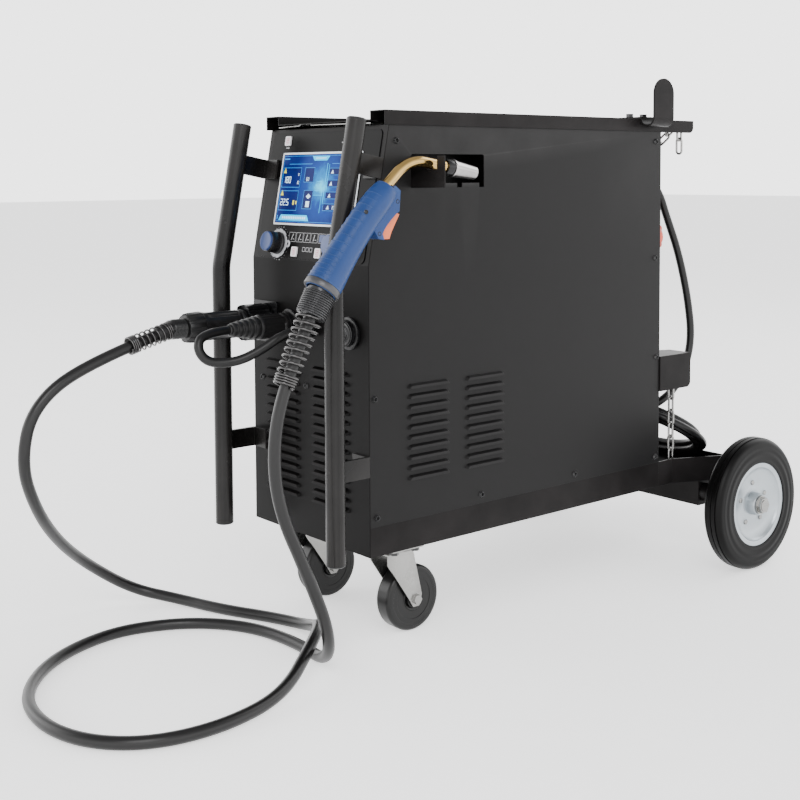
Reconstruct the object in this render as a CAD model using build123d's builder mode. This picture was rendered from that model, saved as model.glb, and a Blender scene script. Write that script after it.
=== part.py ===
from build123d import *
import math
import os

# Wheeled MIG/MAG welding machine: a sheet-steel cabinet on a cart, with a
# gas-cylinder shelf behind it and a welding torch hung on its right side.
# Frame: +Z up, the operator stands at -Y, +X is the machine's right side.
# The origin is on the ground, under the middle of the machine.  All in mm.

# ---- cabinet -------------------------------------------------------------
WIDTH = 294.0
DEPTH = 645.0
FRONT = -364.07
REAR = FRONT + DEPTH
MIDDLE = FRONT + DEPTH / 2
HALF = WIDTH / 2
SHEET = 1.5
TRAY_BOTTOM = 138.0
TRAY_TOP = 181.0
TRAY_SHEET = 3.0
BEND_Z = 557.0
PANEL_TOP = 757.0
LEAN = 38.6
LID_TOP = 778.0
LID_FLOOR = 765.0
LID_HALF = 149.5
LID_RIM = 34.0
LEAN_ANGLE = math.atan2(LEAN, PANEL_TOP - BEND_Z)

# ---- running gear --------------------------------------------------------
WHEEL_RADIUS = 114.0
WHEEL_X = 262.0
WHEEL_WIDTH = 36.0
AXLE_Y = FRONT + 752
AXLE_RADIUS = 10.0
RIM_RADIUS = 72.0
CASTER_RADIUS = 50.0
CASTER_X = 103.0
KINGPIN_Y = FRONT + 76
CASTER_TRAIL = 30.0

# ---- cylinder shelf ------------------------------------------------------
SHELF_FLARE_Y = FRONT + 683
SHELF_WIDE_Y = FRONT + 770
SHELF_END_Y = FRONT + 850
SHELF_HALF = 187.0
LIP_TOP = 163.0

# ---- front furniture -----------------------------------------------------
HANDLE_X = 146.0
HANDLE_OUT = 60.0
HANDLE_RADIUS = 14.0
HANDLE_FOOT = 141.0
HANDLE_BEND = 545.0
HANDLE_TOP = 763.0
LOWER_FOOT = 270.0
UPPER_FOOT = 140.0
TORCH_SOCKET_X = -108.0
SOCKET_Z = 458.0
POLARITY_X = -45.0
NEGATIVE_X = 104.0
GLAND_X = 15.0
KNOB_X = 79.0
KNOB_S = 24.0
KNOB_RADIUS = 16.0
KNOB_SHAFT = 3.0
FASCIA = 1.2

# ---- torch ---------------------------------------------------------------
TORCH_X = 190.0
NECK_RADIUS = 8.0
HOSE_RADIUS = 8.5
LEAD_RADIUS = 7.0
MAINS_RADIUS = 7.0

# ---- running fits --------------------------------------------------------
FIT = 0.05
GAP = 0.5

SLOPE = Plane(
    origin=(0, FRONT, BEND_Z),
    x_dir=(1, 0, 0),
    z_dir=(0, -math.cos(LEAN_ANGLE), math.sin(LEAN_ANGLE)),
)

os.makedirs("parts", exist_ok=True)


def across(x):
    """Plane square to the width at x: local axes are +Y and +Z."""
    return Plane.YZ.offset(x)


def along(y):
    """Plane square to the length at y, facing the operator: axes +X and +Z."""
    return Plane.XZ.offset(-y)


def level(z):
    """Horizontal plane at height z."""
    return Plane.XY.offset(z)


def save(piece, name):
    """Label one finished piece and write its STEP file."""
    piece.part.label = name
    export_step(piece.part, f"parts/{name}.step")


def press_louvres(plane, places, length, hood=13.6, depth=5.0):
    """Push hooded louvres, open downward, out of the sheet lying behind plane."""
    with BuildSketch(plane) as hoods:
        with Locations(*places):
            SlotOverall(length, hood)
    extrude(hoods.sketch, amount=depth, taper=30)
    with BuildSketch(plane) as mouths:
        with Locations(*places):
            Rectangle(length + 2, hood / 2, align=(Align.CENTER, Align.MAX))
    extrude(mouths.sketch, amount=depth + 1, mode=Mode.SUBTRACT)
    with BuildSketch(plane.offset(depth / 2)) as slits:
        with Locations(*places):
            Rectangle(length - 9, hood / 4, align=(Align.CENTER, Align.MIN))
    extrude(slits.sketch, amount=-depth - SHEET, mode=Mode.SUBTRACT)


def column(x, z_low, pitch, count):
    """Louvre centres in one upright column."""
    return [(x, z_low + pitch * row) for row in range(count)]


# ===== cart ===============================================================
with BuildPart() as base_tray:
    with BuildSketch(level(TRAY_BOTTOM)):
        with Locations((0, MIDDLE + SHEET / 2)):
            Rectangle(WIDTH, DEPTH - SHEET)
    extrude(amount=TRAY_TOP - TRAY_BOTTOM)
    with BuildSketch(level(TRAY_BOTTOM + TRAY_SHEET)):
        with Locations((0, MIDDLE + SHEET / 2)):
            Rectangle(WIDTH - 2 * SHEET, DEPTH - 3 * SHEET)
    extrude(amount=TRAY_TOP, mode=Mode.SUBTRACT)
    UPSTAND = WIDTH - 2 * SHEET
    with BuildSketch(level(TRAY_BOTTOM + TRAY_SHEET)):
        with Locations((0, MIDDLE + SHEET / 2)):
            Rectangle(UPSTAND, DEPTH - 3 * SHEET)
            Rectangle(UPSTAND - 2 * SHEET, DEPTH - 5 * SHEET, mode=Mode.SUBTRACT)
    extrude(amount=64)
    with BuildSketch(level(TRAY_BOTTOM)):
        for side in (-1, 1):
            with Locations((side * CASTER_X, KINGPIN_Y)):
                with GridLocations(60, 40, 2, 2):
                    Circle(4.5)
    extrude(amount=TRAY_SHEET, mode=Mode.SUBTRACT)
save(base_tray, "base_tray")

SHELF_OUTLINE = [
    (-HALF, REAR), (-HALF, SHELF_FLARE_Y), (-SHELF_HALF, SHELF_WIDE_Y),
    (-SHELF_HALF, SHELF_END_Y), (SHELF_HALF, SHELF_END_Y),
    (SHELF_HALF, SHELF_WIDE_Y), (HALF, SHELF_FLARE_Y), (HALF, REAR),
]
BRACKET_Y = AXLE_Y - 17
BRACKET_HALF = 165.0
BRACKET_BOTTOM = 92.0
BRACKET_DEPTH = 35.0
with BuildPart() as cylinder_shelf:
    with BuildSketch(level(TRAY_BOTTOM)):
        with BuildLine():
            Polyline(*SHELF_OUTLINE, close=True)
        make_face()
    extrude(amount=TRAY_TOP - TRAY_BOTTOM)
    with BuildSketch(level(TRAY_BOTTOM + TRAY_SHEET)):
        with BuildLine():
            Polyline(*SHELF_OUTLINE, close=True)
        make_face()
        offset(amount=-TRAY_SHEET, kind=Kind.INTERSECTION, mode=Mode.REPLACE)
        with Locations((0, REAR)):
            Rectangle(WIDTH - 2 * TRAY_SHEET, 20, align=(Align.CENTER, Align.MIN))
    extrude(amount=TRAY_TOP, mode=Mode.SUBTRACT)
    with BuildSketch(level(LIP_TOP)):
        with Locations((0, SHELF_END_Y)):
            Rectangle(2 * SHELF_HALF - 2 * TRAY_SHEET, 2 * TRAY_SHEET)
    extrude(amount=TRAY_TOP, mode=Mode.SUBTRACT)
    with BuildSketch(level(BRACKET_BOTTOM)):
        with Locations((0, BRACKET_Y + BRACKET_DEPTH / 2)):
            Rectangle(2 * BRACKET_HALF, BRACKET_DEPTH)
            Rectangle(2 * BRACKET_HALF - 6, BRACKET_DEPTH - 6, mode=Mode.SUBTRACT)
    extrude(amount=TRAY_BOTTOM - BRACKET_BOTTOM)
    with BuildSketch(across(0)):
        with Locations((AXLE_Y, WHEEL_RADIUS)):
            Circle(AXLE_RADIUS + FIT)
    extrude(amount=2 * BRACKET_HALF, both=True, mode=Mode.SUBTRACT)
save(cylinder_shelf, "cylinder_shelf")

HUB_IN = WHEEL_X - 20
HUB_OUT = WHEEL_X + 20
AXLE_END = WHEEL_X + 30
with BuildPart() as rear_axle:
    with BuildSketch(across(-AXLE_END)):
        with Locations((AXLE_Y, WHEEL_RADIUS)):
            Circle(AXLE_RADIUS)
    extrude(amount=2 * AXLE_END)
    for side in (-1, 1):
        with BuildSketch(across(side * (BRACKET_HALF + GAP))):
            with Locations((AXLE_Y, WHEEL_RADIUS)):
                Circle(15)
        extrude(amount=side * (HUB_IN - BRACKET_HALF - 2 * GAP))
        with BuildSketch(across(side * (HUB_OUT + GAP))):
            with Locations((AXLE_Y, WHEEL_RADIUS)):
                Circle(16)
        extrude(amount=side * 2.5)
        with BuildSketch(across(side * (HUB_OUT + 3))):
            with Locations((AXLE_Y, WHEEL_RADIUS)):
                RegularPolygon(14, 6)
        extrude(amount=side * 6)
save(rear_axle, "rear_axle")

for side, word in ((1, "right"), (-1, "left")):
    hub_axis = Axis((0, AXLE_Y, WHEEL_RADIUS), (1, 0, 0))
    with BuildPart() as rear_tyre:
        with BuildSketch(Plane.XY.offset(WHEEL_RADIUS)):
            with Locations((side * WHEEL_X, AXLE_Y)):
                with Locations((0, (WHEEL_RADIUS + RIM_RADIUS) / 2)):
                    Rectangle(WHEEL_WIDTH, WHEEL_RADIUS - RIM_RADIUS)
        revolve(axis=hub_axis)
        outer = rear_tyre.edges().filter_by(GeomType.CIRCLE).group_by(SortBy.RADIUS)[-1]
        fillet(outer, 12)
        for groove in (-9, 0, 9):
            with BuildSketch(Plane.XY.offset(WHEEL_RADIUS)):
                with Locations((side * WHEEL_X + groove, AXLE_Y + WHEEL_RADIUS)):
                    Rectangle(2, 4)
            revolve(axis=hub_axis, mode=Mode.SUBTRACT)
    save(rear_tyre, f"rear_tyre_{word}")

    with BuildPart() as rear_rim:
        with BuildSketch(Plane.XY.offset(WHEEL_RADIUS)):
            with Locations((side * WHEEL_X, AXLE_Y)):
                with Locations((0, RIM_RADIUS - 1.5)):
                    Rectangle(WHEEL_WIDTH - 4, 3)
                with Locations((side * 2, (RIM_RADIUS + 14) / 2)):
                    Rectangle(3, RIM_RADIUS - 16)
                with Locations((0, (AXLE_RADIUS + FIT + 18) / 2)):
                    Rectangle(HUB_OUT - HUB_IN, 18 - AXLE_RADIUS - FIT)
        revolve(axis=hub_axis)
    save(rear_rim, f"rear_rim_{word}")

PLATE_BOTTOM = TRAY_BOTTOM - 3
RACE_BOTTOM = PLATE_BOTTOM - 8
with BuildPart() as caster_plates:
    with BuildSketch(level(TRAY_BOTTOM)):
        for side in (-1, 1):
            with Locations((side * CASTER_X, KINGPIN_Y)):
                RectangleRounded(82, 62, 5)
                with GridLocations(60, 40, 2, 2):
                    Circle(4.5, mode=Mode.SUBTRACT)
    extrude(amount=PLATE_BOTTOM - TRAY_BOTTOM)
    with BuildSketch(level(PLATE_BOTTOM)):
        for side in (-1, 1):
            with Locations((side * CASTER_X, KINGPIN_Y)):
                Circle(25)
    extrude(amount=RACE_BOTTOM - PLATE_BOTTOM, taper=15)
    with BuildSketch(level(TRAY_BOTTOM)):
        for side in (-1, 1):
            with Locations((side * CASTER_X, KINGPIN_Y)):
                Circle(6 + FIT)
    extrude(amount=-20, mode=Mode.SUBTRACT)
save(caster_plates, "caster_plates")

WHEEL_Y = KINGPIN_Y + CASTER_TRAIL
FORK_TOP = RACE_BOTTOM - GAP
FORK_HALF = 19.0
for side, word in ((1, "right"), (-1, "left")):
    x = side * CASTER_X
    with BuildPart() as caster_fork:
        with BuildSketch(across(x - FORK_HALF - 2.5)):
            with BuildLine():
                Polyline(
                    (KINGPIN_Y - 24, FORK_TOP), (KINGPIN_Y + 24, FORK_TOP),
                    (WHEEL_Y + 11, CASTER_RADIUS + 6), (WHEEL_Y + 6, CASTER_RADIUS - 11),
                    (WHEEL_Y - 6, CASTER_RADIUS - 11), (WHEEL_Y - 14, CASTER_RADIUS + 2),
                    (KINGPIN_Y - 24, FORK_TOP - 16), close=True)
            make_face()
        extrude(amount=2 * FORK_HALF + 5)
        with BuildSketch(across(x - FORK_HALF)):
            with Locations((WHEEL_Y, FORK_TOP - 2.5)):
                Rectangle(200, 200, align=(Align.CENTER, Align.MAX))
        extrude(amount=2 * FORK_HALF, mode=Mode.SUBTRACT)
        with BuildSketch(level(FORK_TOP)):
            with Locations((x, KINGPIN_Y)):
                Circle(6)
        extrude(amount=TRAY_BOTTOM - FORK_TOP - GAP)
        with BuildSketch(across(x - FORK_HALF - 7)):
            with Locations((WHEEL_Y, CASTER_RADIUS)):
                Circle(4)
        extrude(amount=2 * FORK_HALF + 14)
        for end in (-1, 1):
            with BuildSketch(across(x + end * (FORK_HALF + 2.5))):
                with Locations((WHEEL_Y, CASTER_RADIUS)):
                    RegularPolygon(7.5, 6)
            extrude(amount=end * 5)
    save(caster_fork, f"caster_fork_{word}")

    with BuildPart() as caster_wheel:
        wheel_axis = Axis((0, WHEEL_Y, CASTER_RADIUS), (1, 0, 0))
        with BuildSketch(Plane.XY.offset(CASTER_RADIUS)):
            with Locations((x, WHEEL_Y + 28)):
                Rectangle(22, 30)
            with Locations((x, WHEEL_Y + CASTER_RADIUS - 9)):
                Rectangle(30, 18)
            with Locations((x, WHEEL_Y + (14 + 4 + FIT) / 2)):
                Rectangle(36, 10 - FIT)
        revolve(axis=wheel_axis)
        rims = caster_wheel.edges().filter_by(GeomType.CIRCLE).group_by(SortBy.RADIUS)[-1]
        fillet(rims, 6)
    save(caster_wheel, f"caster_wheel_{word}")

# ===== cabinet skin =======================================================
FRONT_ROWS = 15
FRONT_LOUVRES = column(-67.5, 195, 14.2, FRONT_ROWS) + column(55.7, 195, 14.2, FRONT_ROWS)
BUTTONS = {"power": (-93.4, 184.8), "left": (-34.5, 12.6), "right": (25.7, 12.6)}
BUTTON_WIDTH = 14.0
BUTTON_HEIGHT = 15.0
BUTTON_TRAVEL = 1.0
with BuildPart() as front_panel:
    with BuildSketch(across(-HALF)):
        with BuildLine():
            Polyline(
                (FRONT, TRAY_BOTTOM), (FRONT, BEND_Z), (FRONT + LEAN, PANEL_TOP),
                (FRONT + LEAN + SHEET, PANEL_TOP), (FRONT + SHEET, BEND_Z),
                (FRONT + SHEET, TRAY_BOTTOM), close=True)
        make_face()
    extrude(amount=WIDTH)
    press_louvres(along(FRONT), FRONT_LOUVRES, 90)
    with BuildSketch(SLOPE):
        with Locations(*BUTTONS.values()):
            Rectangle(BUTTON_WIDTH + 1, BUTTON_HEIGHT + 1)
    extrude(amount=-5, mode=Mode.SUBTRACT)
save(front_panel, "front_panel")

SIDE_OUTLINE = [
    (FRONT + SHEET, TRAY_TOP), (REAR, TRAY_TOP), (REAR, PANEL_TOP),
    (FRONT + LEAN + SHEET, PANEL_TOP), (FRONT + SHEET, BEND_Z),
]
SIDE_LOUVRES = column(FRONT + 111.5, 240, 15, 10) + column(FRONT + 226, 240, 15, 10)
WINDOW_FRONT = FRONT + 80
WINDOW_REAR = FRONT + 225
WINDOW_TOP = 715.5
WINDOW_LOW = 666.5
WINDOW_SILL = 673.0
with BuildPart() as right_side_panel:
    with BuildSketch(across(HALF - SHEET)):
        with BuildLine():
            Polyline(*SIDE_OUTLINE, close=True)
        make_face()
    extrude(amount=SHEET)
    press_louvres(across(HALF), SIDE_LOUVRES, 81)
    with BuildSketch(across(HALF)):
        with Locations(((WINDOW_FRONT + WINDOW_REAR) / 2, (WINDOW_TOP + WINDOW_SILL) / 2)):
            RectangleRounded(WINDOW_REAR - WINDOW_FRONT, WINDOW_TOP - WINDOW_SILL, 3)
        with Locations((WINDOW_FRONT, WINDOW_LOW)):
            Rectangle(66, 12, align=(Align.MIN, Align.MIN))
        with Locations((FRONT + 175, WINDOW_LOW), (FRONT + 220, WINDOW_LOW)):
            Rectangle(10, 12, align=(Align.CENTER, Align.MIN))
    extrude(amount=-SHEET, mode=Mode.SUBTRACT)
save(right_side_panel, "right_side_panel")

DOOR_FRONT = FRONT + 60
DOOR_REAR = FRONT + 600
DOOR_LOW = 330.0
DOOR_HIGH = 740.0
DOOR_GAP = 1.5
with BuildPart() as left_side_panel:
    with BuildSketch(across(-HALF)):
        with BuildLine():
            Polyline(*SIDE_OUTLINE, close=True)
        make_face()
        with Locations(((DOOR_FRONT + DOOR_REAR) / 2, (DOOR_LOW + DOOR_HIGH) / 2)):
            Rectangle(DOOR_REAR - DOOR_FRONT + 2 * DOOR_GAP,
                      DOOR_HIGH - DOOR_LOW + 2 * DOOR_GAP, mode=Mode.SUBTRACT)
    extrude(amount=SHEET)
save(left_side_panel, "left_side_panel")

HINGE_X = -HALF - 4
HINGE_Y = DOOR_REAR + 1
HINGES = (430.0, 650.0)
KNUCKLE = 20.0
DOOR_LIP = 12.0
LATCH_Y = FRONT + 85
LATCH_Z = 535.0
with BuildPart() as left_door:
    with BuildSketch(across(-HALF)):
        with Locations(((DOOR_FRONT + DOOR_REAR) / 2, (DOOR_LOW + DOOR_HIGH) / 2)):
            Rectangle(DOOR_REAR - DOOR_FRONT, DOOR_HIGH - DOOR_LOW)
    extrude(amount=DOOR_LIP)
    with BuildSketch(across(-HALF + SHEET)):
        with Locations(((DOOR_FRONT + DOOR_REAR) / 2, (DOOR_LOW + DOOR_HIGH) / 2)):
            Rectangle(DOOR_REAR - DOOR_FRONT - 2 * SHEET, DOOR_HIGH - DOOR_LOW - 2 * SHEET)
    extrude(amount=DOOR_LIP, mode=Mode.SUBTRACT)
    with BuildSketch(across(-HALF)):
        with Locations((LATCH_Y, LATCH_Z)):
            Circle(4 + FIT)
    extrude(amount=SHEET, mode=Mode.SUBTRACT)
    for z in HINGES:
        with BuildSketch(level(z)):
            with Locations((-HALF - 2, DOOR_REAR - 26)):
                Rectangle(2, 24, align=(Align.MIN, Align.MIN))
            with Locations((HINGE_X - 1, HINGE_Y - 3)):
                Rectangle(4, 2, align=(Align.MIN, Align.CENTER))
            with Locations((HINGE_X, HINGE_Y)):
                Circle(4)
        extrude(amount=KNUCKLE)
        with BuildSketch(level(z)):
            with Locations((HINGE_X, HINGE_Y)):
                Circle(2 + FIT)
        extrude(amount=KNUCKLE, mode=Mode.SUBTRACT)
save(left_door, "left_door")

with BuildPart() as door_hinges:
    for z in HINGES:
        for low in (z - KNUCKLE - GAP, z + KNUCKLE + GAP):
            with BuildSketch(level(low)):
                with Locations((-HALF - 2, HINGE_Y + 1)):
                    Rectangle(2, 26, align=(Align.MIN, Align.MIN))
                with Locations((HINGE_X - 1, HINGE_Y + 3)):
                    Rectangle(4, 2, align=(Align.MIN, Align.CENTER))
                with Locations((HINGE_X, HINGE_Y)):
                    Circle(4)
            extrude(amount=KNUCKLE)
        with BuildSketch(level(z - KNUCKLE)):
            with Locations((HINGE_X, HINGE_Y)):
                Circle(2)
        extrude(amount=3 * KNUCKLE)
save(door_hinges, "door_hinges")

with BuildPart() as door_latch:
    with BuildSketch(across(-HALF - GAP)):
        with Locations((LATCH_Y, LATCH_Z)):
            Circle(14)
    extrude(amount=-9, taper=8)
    with BuildSketch(across(-HALF - GAP)):
        with Locations((LATCH_Y, LATCH_Z)):
            Circle(4)
    extrude(amount=8)
    with BuildSketch(across(-HALF + SHEET + GAP)):
        with Locations((LATCH_Y, LATCH_Z)):
            Rectangle(22, 12, align=(Align.MAX, Align.CENTER))
            Circle(6)
    extrude(amount=3)
save(door_latch, "door_latch")

FAN_X = 62.0
FAN_Z = 330.0
FAN_SLOTS = 12
GLAND_Z = 690.0
MAINS_X = 50.0
GAS_X = -60.0
GAS_Z = 240.0
SWITCH_X = 122.0
SWITCH_Z = 575.0
PANEL_BACK = REAR - SHEET
with BuildPart() as rear_panel:
    with BuildSketch(along(REAR)):
        with Locations((0, (PANEL_TOP + TRAY_TOP) / 2)):
            Rectangle(WIDTH - 2 * SHEET, PANEL_TOP - TRAY_TOP)
        with Locations((FAN_X, FAN_Z)):
            with PolarLocations(37, FAN_SLOTS):
                SlotOverall(42, 8, mode=Mode.SUBTRACT)
        with Locations((SWITCH_X, SWITCH_Z)):
            Circle(4 + FIT, mode=Mode.SUBTRACT)
    extrude(amount=SHEET)
    with BuildSketch(along(PANEL_BACK)):
        with Locations((FAN_X, FAN_Z)):
            Circle(12)
    extrude(amount=20)
    with BuildSketch(along(PANEL_BACK)):
        with Locations((FAN_X, FAN_Z)):
            Circle(4)
    extrude(amount=44)
    with BuildSketch(along(REAR)):
        with Locations((GAS_X, GAS_Z)):
            RegularPolygon(11, 6)
    extrude(amount=-10)
    with BuildSketch(along(REAR)):
        with Locations((GAS_X, GAS_Z)):
            Circle(6)
    extrude(amount=-32)
save(rear_panel, "rear_panel")

LID_FRONT = FRONT + 30
LID_REAR = REAR + 2
with BuildPart() as top_lid:
    with BuildSketch(along(LID_REAR)):
        with Locations((0, LID_TOP)):
            Rectangle(2 * LID_HALF, LID_TOP - PANEL_TOP, align=(Align.CENTER, Align.MAX))
            Rectangle(2 * (LID_HALF - LID_RIM), LID_TOP - LID_FLOOR,
                      align=(Align.CENTER, Align.MAX), mode=Mode.SUBTRACT)
        RIM_INSIDE = LID_HALF - SHEET
        with Locations((0, PANEL_TOP)):
            Rectangle(2 * RIM_INSIDE, LID_FLOOR - SHEET - PANEL_TOP,
                      align=(Align.CENTER, Align.MIN), mode=Mode.SUBTRACT)
        for side in (-1, 1):
            with Locations((side * (LID_HALF - LID_RIM / 2), PANEL_TOP)):
                Rectangle(LID_RIM - 2 * SHEET, LID_TOP - SHEET - PANEL_TOP,
                          align=(Align.CENTER, Align.MIN), mode=Mode.SUBTRACT)
    extrude(amount=LID_REAR - LID_FRONT)
    with BuildSketch(along(LID_REAR)):
        with Locations((0, PANEL_TOP)):
            Rectangle(2 * LID_HALF, LID_TOP - PANEL_TOP, align=(Align.CENTER, Align.MIN))
    extrude(amount=SHEET)
    with BuildSketch(along(LID_REAR - 25)):
        with Locations((0, LID_FLOOR)):
            Rectangle(2 * (LID_HALF - LID_RIM), LID_TOP - LID_FLOOR,
                      align=(Align.CENTER, Align.MIN))
    extrude(amount=SHEET)
save(top_lid, "top_lid")

SIDE_SCREWS = [
    (FRONT + 52, 734.5), (FRONT + 631, 740), (FRONT + 632, 540), (FRONT + 636, 367),
    (FRONT + 641 - 6, 192), (FRONT + 10, 366.5), (FRONT + 13, 194.5),
    (FRONT + 219, 195), (FRONT + 429, 193.5),
]
LEFT_SCREWS = [(y, z) for y, z in SIDE_SCREWS if y > DOOR_REAR or z < DOOR_LOW]
FRONT_SCREWS = [(-123, 368), (-5, 368)]
REAR_SCREWS = [(-130, 740), (130, 740), (-130, 470), (130, 470), (-130, 200), (130, 200)]
SCREW_RADIUS = 5.0
SCREW_HEAD = 3.2
HANGER_BOLTS = [(122, FRONT + 592), (122, FRONT + 628)]
with BuildPart() as fasteners:
    for plane, places in (
        (across(HALF), SIDE_SCREWS),
        (across(-HALF), LEFT_SCREWS),
        (along(FRONT), FRONT_SCREWS),
        (along(REAR), REAR_SCREWS),
    ):
        outward = -1 if plane.origin.X < 0 or plane.origin.Y > 0 else 1
        with BuildSketch(plane):
            with Locations(*places):
                Circle(SCREW_RADIUS)
                RegularPolygon(1.7, 6, mode=Mode.SUBTRACT)
        extrude(amount=outward * SCREW_HEAD, taper=25)
    with BuildSketch(level(TRAY_BOTTOM + TRAY_SHEET)):
        for side in (-1, 1):
            with Locations((side * CASTER_X, KINGPIN_Y)):
                with GridLocations(60, 40, 2, 2):
                    Circle(7)
    extrude(amount=5)
    with BuildSketch(level(PLATE_BOTTOM)):
        for side in (-1, 1):
            with Locations((side * CASTER_X, KINGPIN_Y)):
                with GridLocations(60, 40, 2, 2):
                    RegularPolygon(7, 6)
    extrude(amount=-6)
    with BuildSketch(level(PLATE_BOTTOM - 4)):
        for side in (-1, 1):
            with Locations((side * CASTER_X, KINGPIN_Y)):
                with GridLocations(60, 40, 2, 2):
                    Circle(4)
    extrude(amount=TRAY_BOTTOM + 6 - PLATE_BOTTOM)
    with BuildSketch(level(LID_TOP + 3)):
        with Locations(*HANGER_BOLTS):
            RegularPolygon(6.5, 6)
    extrude(amount=6)
save(fasteners, "fasteners")

# ===== controls ===========================================================
FASCIA_WIDTH = 274.0
FASCIA_LOW = 2.0
FASCIA_HIGH = 198.0
SCREEN_S = 109.5
SCREEN_WIDTH = 202.0
SCREEN_HEIGHT = 113.0
SCALE_RADIUS = 21.0
with BuildPart() as control_fascia:
    with BuildSketch(SLOPE):
        with Locations((0, (FASCIA_LOW + FASCIA_HIGH) / 2)):
            RectangleRounded(FASCIA_WIDTH, FASCIA_HIGH - FASCIA_LOW, 9)
        with Locations(*BUTTONS.values()):
            Rectangle(BUTTON_WIDTH + 1, BUTTON_HEIGHT + 1, mode=Mode.SUBTRACT)
    extrude(amount=FASCIA)
    with BuildSketch(SLOPE.offset(FASCIA)):
        with Locations((0, SCREEN_S)):
            RectangleRounded(SCREEN_WIDTH, SCREEN_HEIGHT, 3)
            RectangleRounded(SCREEN_WIDTH - 6, SCREEN_HEIGHT - 6, 2, mode=Mode.SUBTRACT)
    extrude(amount=1)
    with BuildSketch(SLOPE.offset(FASCIA)):
        for side in (-1, 1):
            with Locations((side * KNOB_X, KNOB_S)):
                Circle(SCALE_RADIUS)
            with Locations((side * KNOB_X + SCALE_RADIUS + 2, KNOB_S)):
                Circle(5)
                Circle(2, mode=Mode.SUBTRACT)
    extrude(amount=1)
    with BuildSketch(SLOPE.offset(FASCIA)):
        for side in (-1, 1):
            with Locations((side * KNOB_X, KNOB_S)):
                Circle(KNOB_SHAFT)
    extrude(amount=16)
save(control_fascia, "control_fascia")

with BuildPart() as display_glass:
    with BuildSketch(SLOPE.offset(FASCIA)):
        with Locations((0, SCREEN_S)):
            RectangleRounded(SCREEN_WIDTH - 6.4, SCREEN_HEIGHT - 6.4, 2)
    extrude(amount=0.8)
save(display_glass, "display_glass")

for side, word in ((1, "right"), (-1, "left")):
    with BuildPart() as knob:
        with BuildSketch(SLOPE.offset(FASCIA + 1 + GAP)):
            with Locations((side * KNOB_X, KNOB_S)):
                Circle(KNOB_RADIUS + 2)
        extrude(amount=4)
        with BuildSketch(SLOPE.offset(FASCIA + 5 + GAP)):
            with Locations((side * KNOB_X, KNOB_S)):
                Circle(KNOB_RADIUS)
        extrude(amount=21, taper=3)
        with BuildSketch(SLOPE.offset(FASCIA + 1 + GAP)):
            with Locations((side * KNOB_X, KNOB_S)):
                Circle(KNOB_SHAFT + FIT)
        extrude(amount=16, mode=Mode.SUBTRACT)
    save(knob, f"knob_{word}")

for word, place in BUTTONS.items():
    with BuildPart() as button:
        with BuildSketch(SLOPE.offset(-0.5)):
            with Locations(place):
                RectangleRounded(BUTTON_WIDTH, BUTTON_HEIGHT, 2)
        extrude(amount=FASCIA + 0.5 + BUTTON_TRAVEL + 1)
    save(button, f"button_{word}")

# ===== torch holder and handles ===========================================
HOLDER_TIP = 219.0
SLOT_IN = 181.0
SLOT_OUT = 203.0
SLOT_BOTTOM = 692.5
RECESS_DEPTH = 42.0
with BuildPart() as torch_holder:
    with BuildSketch(across(HALF - SHEET)):
        with Locations(((WINDOW_FRONT + WINDOW_REAR) / 2, (WINDOW_TOP + WINDOW_LOW) / 2)):
            Rectangle(WINDOW_REAR - WINDOW_FRONT + 20, WINDOW_TOP - WINDOW_LOW + 20)
    extrude(amount=-RECESS_DEPTH)
    with BuildSketch(across(HALF - SHEET)):
        with Locations(((WINDOW_FRONT + WINDOW_REAR) / 2, (WINDOW_TOP + WINDOW_LOW) / 2)):
            Rectangle(WINDOW_REAR - WINDOW_FRONT + 17, WINDOW_TOP - WINDOW_LOW + 17)
    extrude(amount=SHEET - RECESS_DEPTH, mode=Mode.SUBTRACT)
    with BuildSketch(along(WINDOW_FRONT + 2.3)):
        with Locations((HALF - 20, WINDOW_LOW + 1)):
            Rectangle(HOLDER_TIP - HALF + 20, WINDOW_TOP - WINDOW_LOW - 4,
                      align=(Align.MIN, Align.MIN))
        with Locations(((SLOT_IN + SLOT_OUT) / 2, SLOT_BOTTOM)):
            Rectangle(SLOT_OUT - SLOT_IN, 60, align=(Align.CENTER, Align.MIN), mode=Mode.SUBTRACT)
    extrude(amount=2)
    with BuildSketch(along(WINDOW_FRONT + 2.3)):
        with Locations((HALF - 20, (WINDOW_TOP + WINDOW_LOW) / 2)):
            Rectangle(3, 12)
    extrude(amount=12)
save(torch_holder, "torch_holder")

handle_rise = HANDLE_TOP - HANDLE_BEND
handle_tip = FRONT - HANDLE_OUT + handle_rise * math.tan(LEAN_ANGLE)
for side, word in ((1, "right"), (-1, "left")):
    with BuildPart() as handle:
        with BuildLine(across(side * HANDLE_X)):
            FilletPolyline(
                (FRONT - HANDLE_OUT, HANDLE_FOOT), (FRONT - HANDLE_OUT, HANDLE_BEND),
                (handle_tip, HANDLE_TOP), radius=90)
        with BuildSketch(Plane(origin=(side * HANDLE_X, FRONT - HANDLE_OUT, HANDLE_FOOT))):
            Circle(HANDLE_RADIUS)
            Circle(HANDLE_RADIUS - 2, mode=Mode.SUBTRACT)
        sweep()
        for plane, height in ((along(FRONT), LOWER_FOOT), (SLOPE.offset(FASCIA), UPPER_FOOT)):
            with BuildSketch(plane):
                with Locations((side * HANDLE_X, height)):
                    Rectangle(5, 30)
            extrude(amount=HANDLE_OUT - HANDLE_RADIUS + 1)
            with BuildSketch(plane):
                with Locations((side * (HANDLE_X - 15.5), height)):
                    Rectangle(36, 30)
            extrude(amount=4)
    save(handle, f"handle_{word}")

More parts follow.
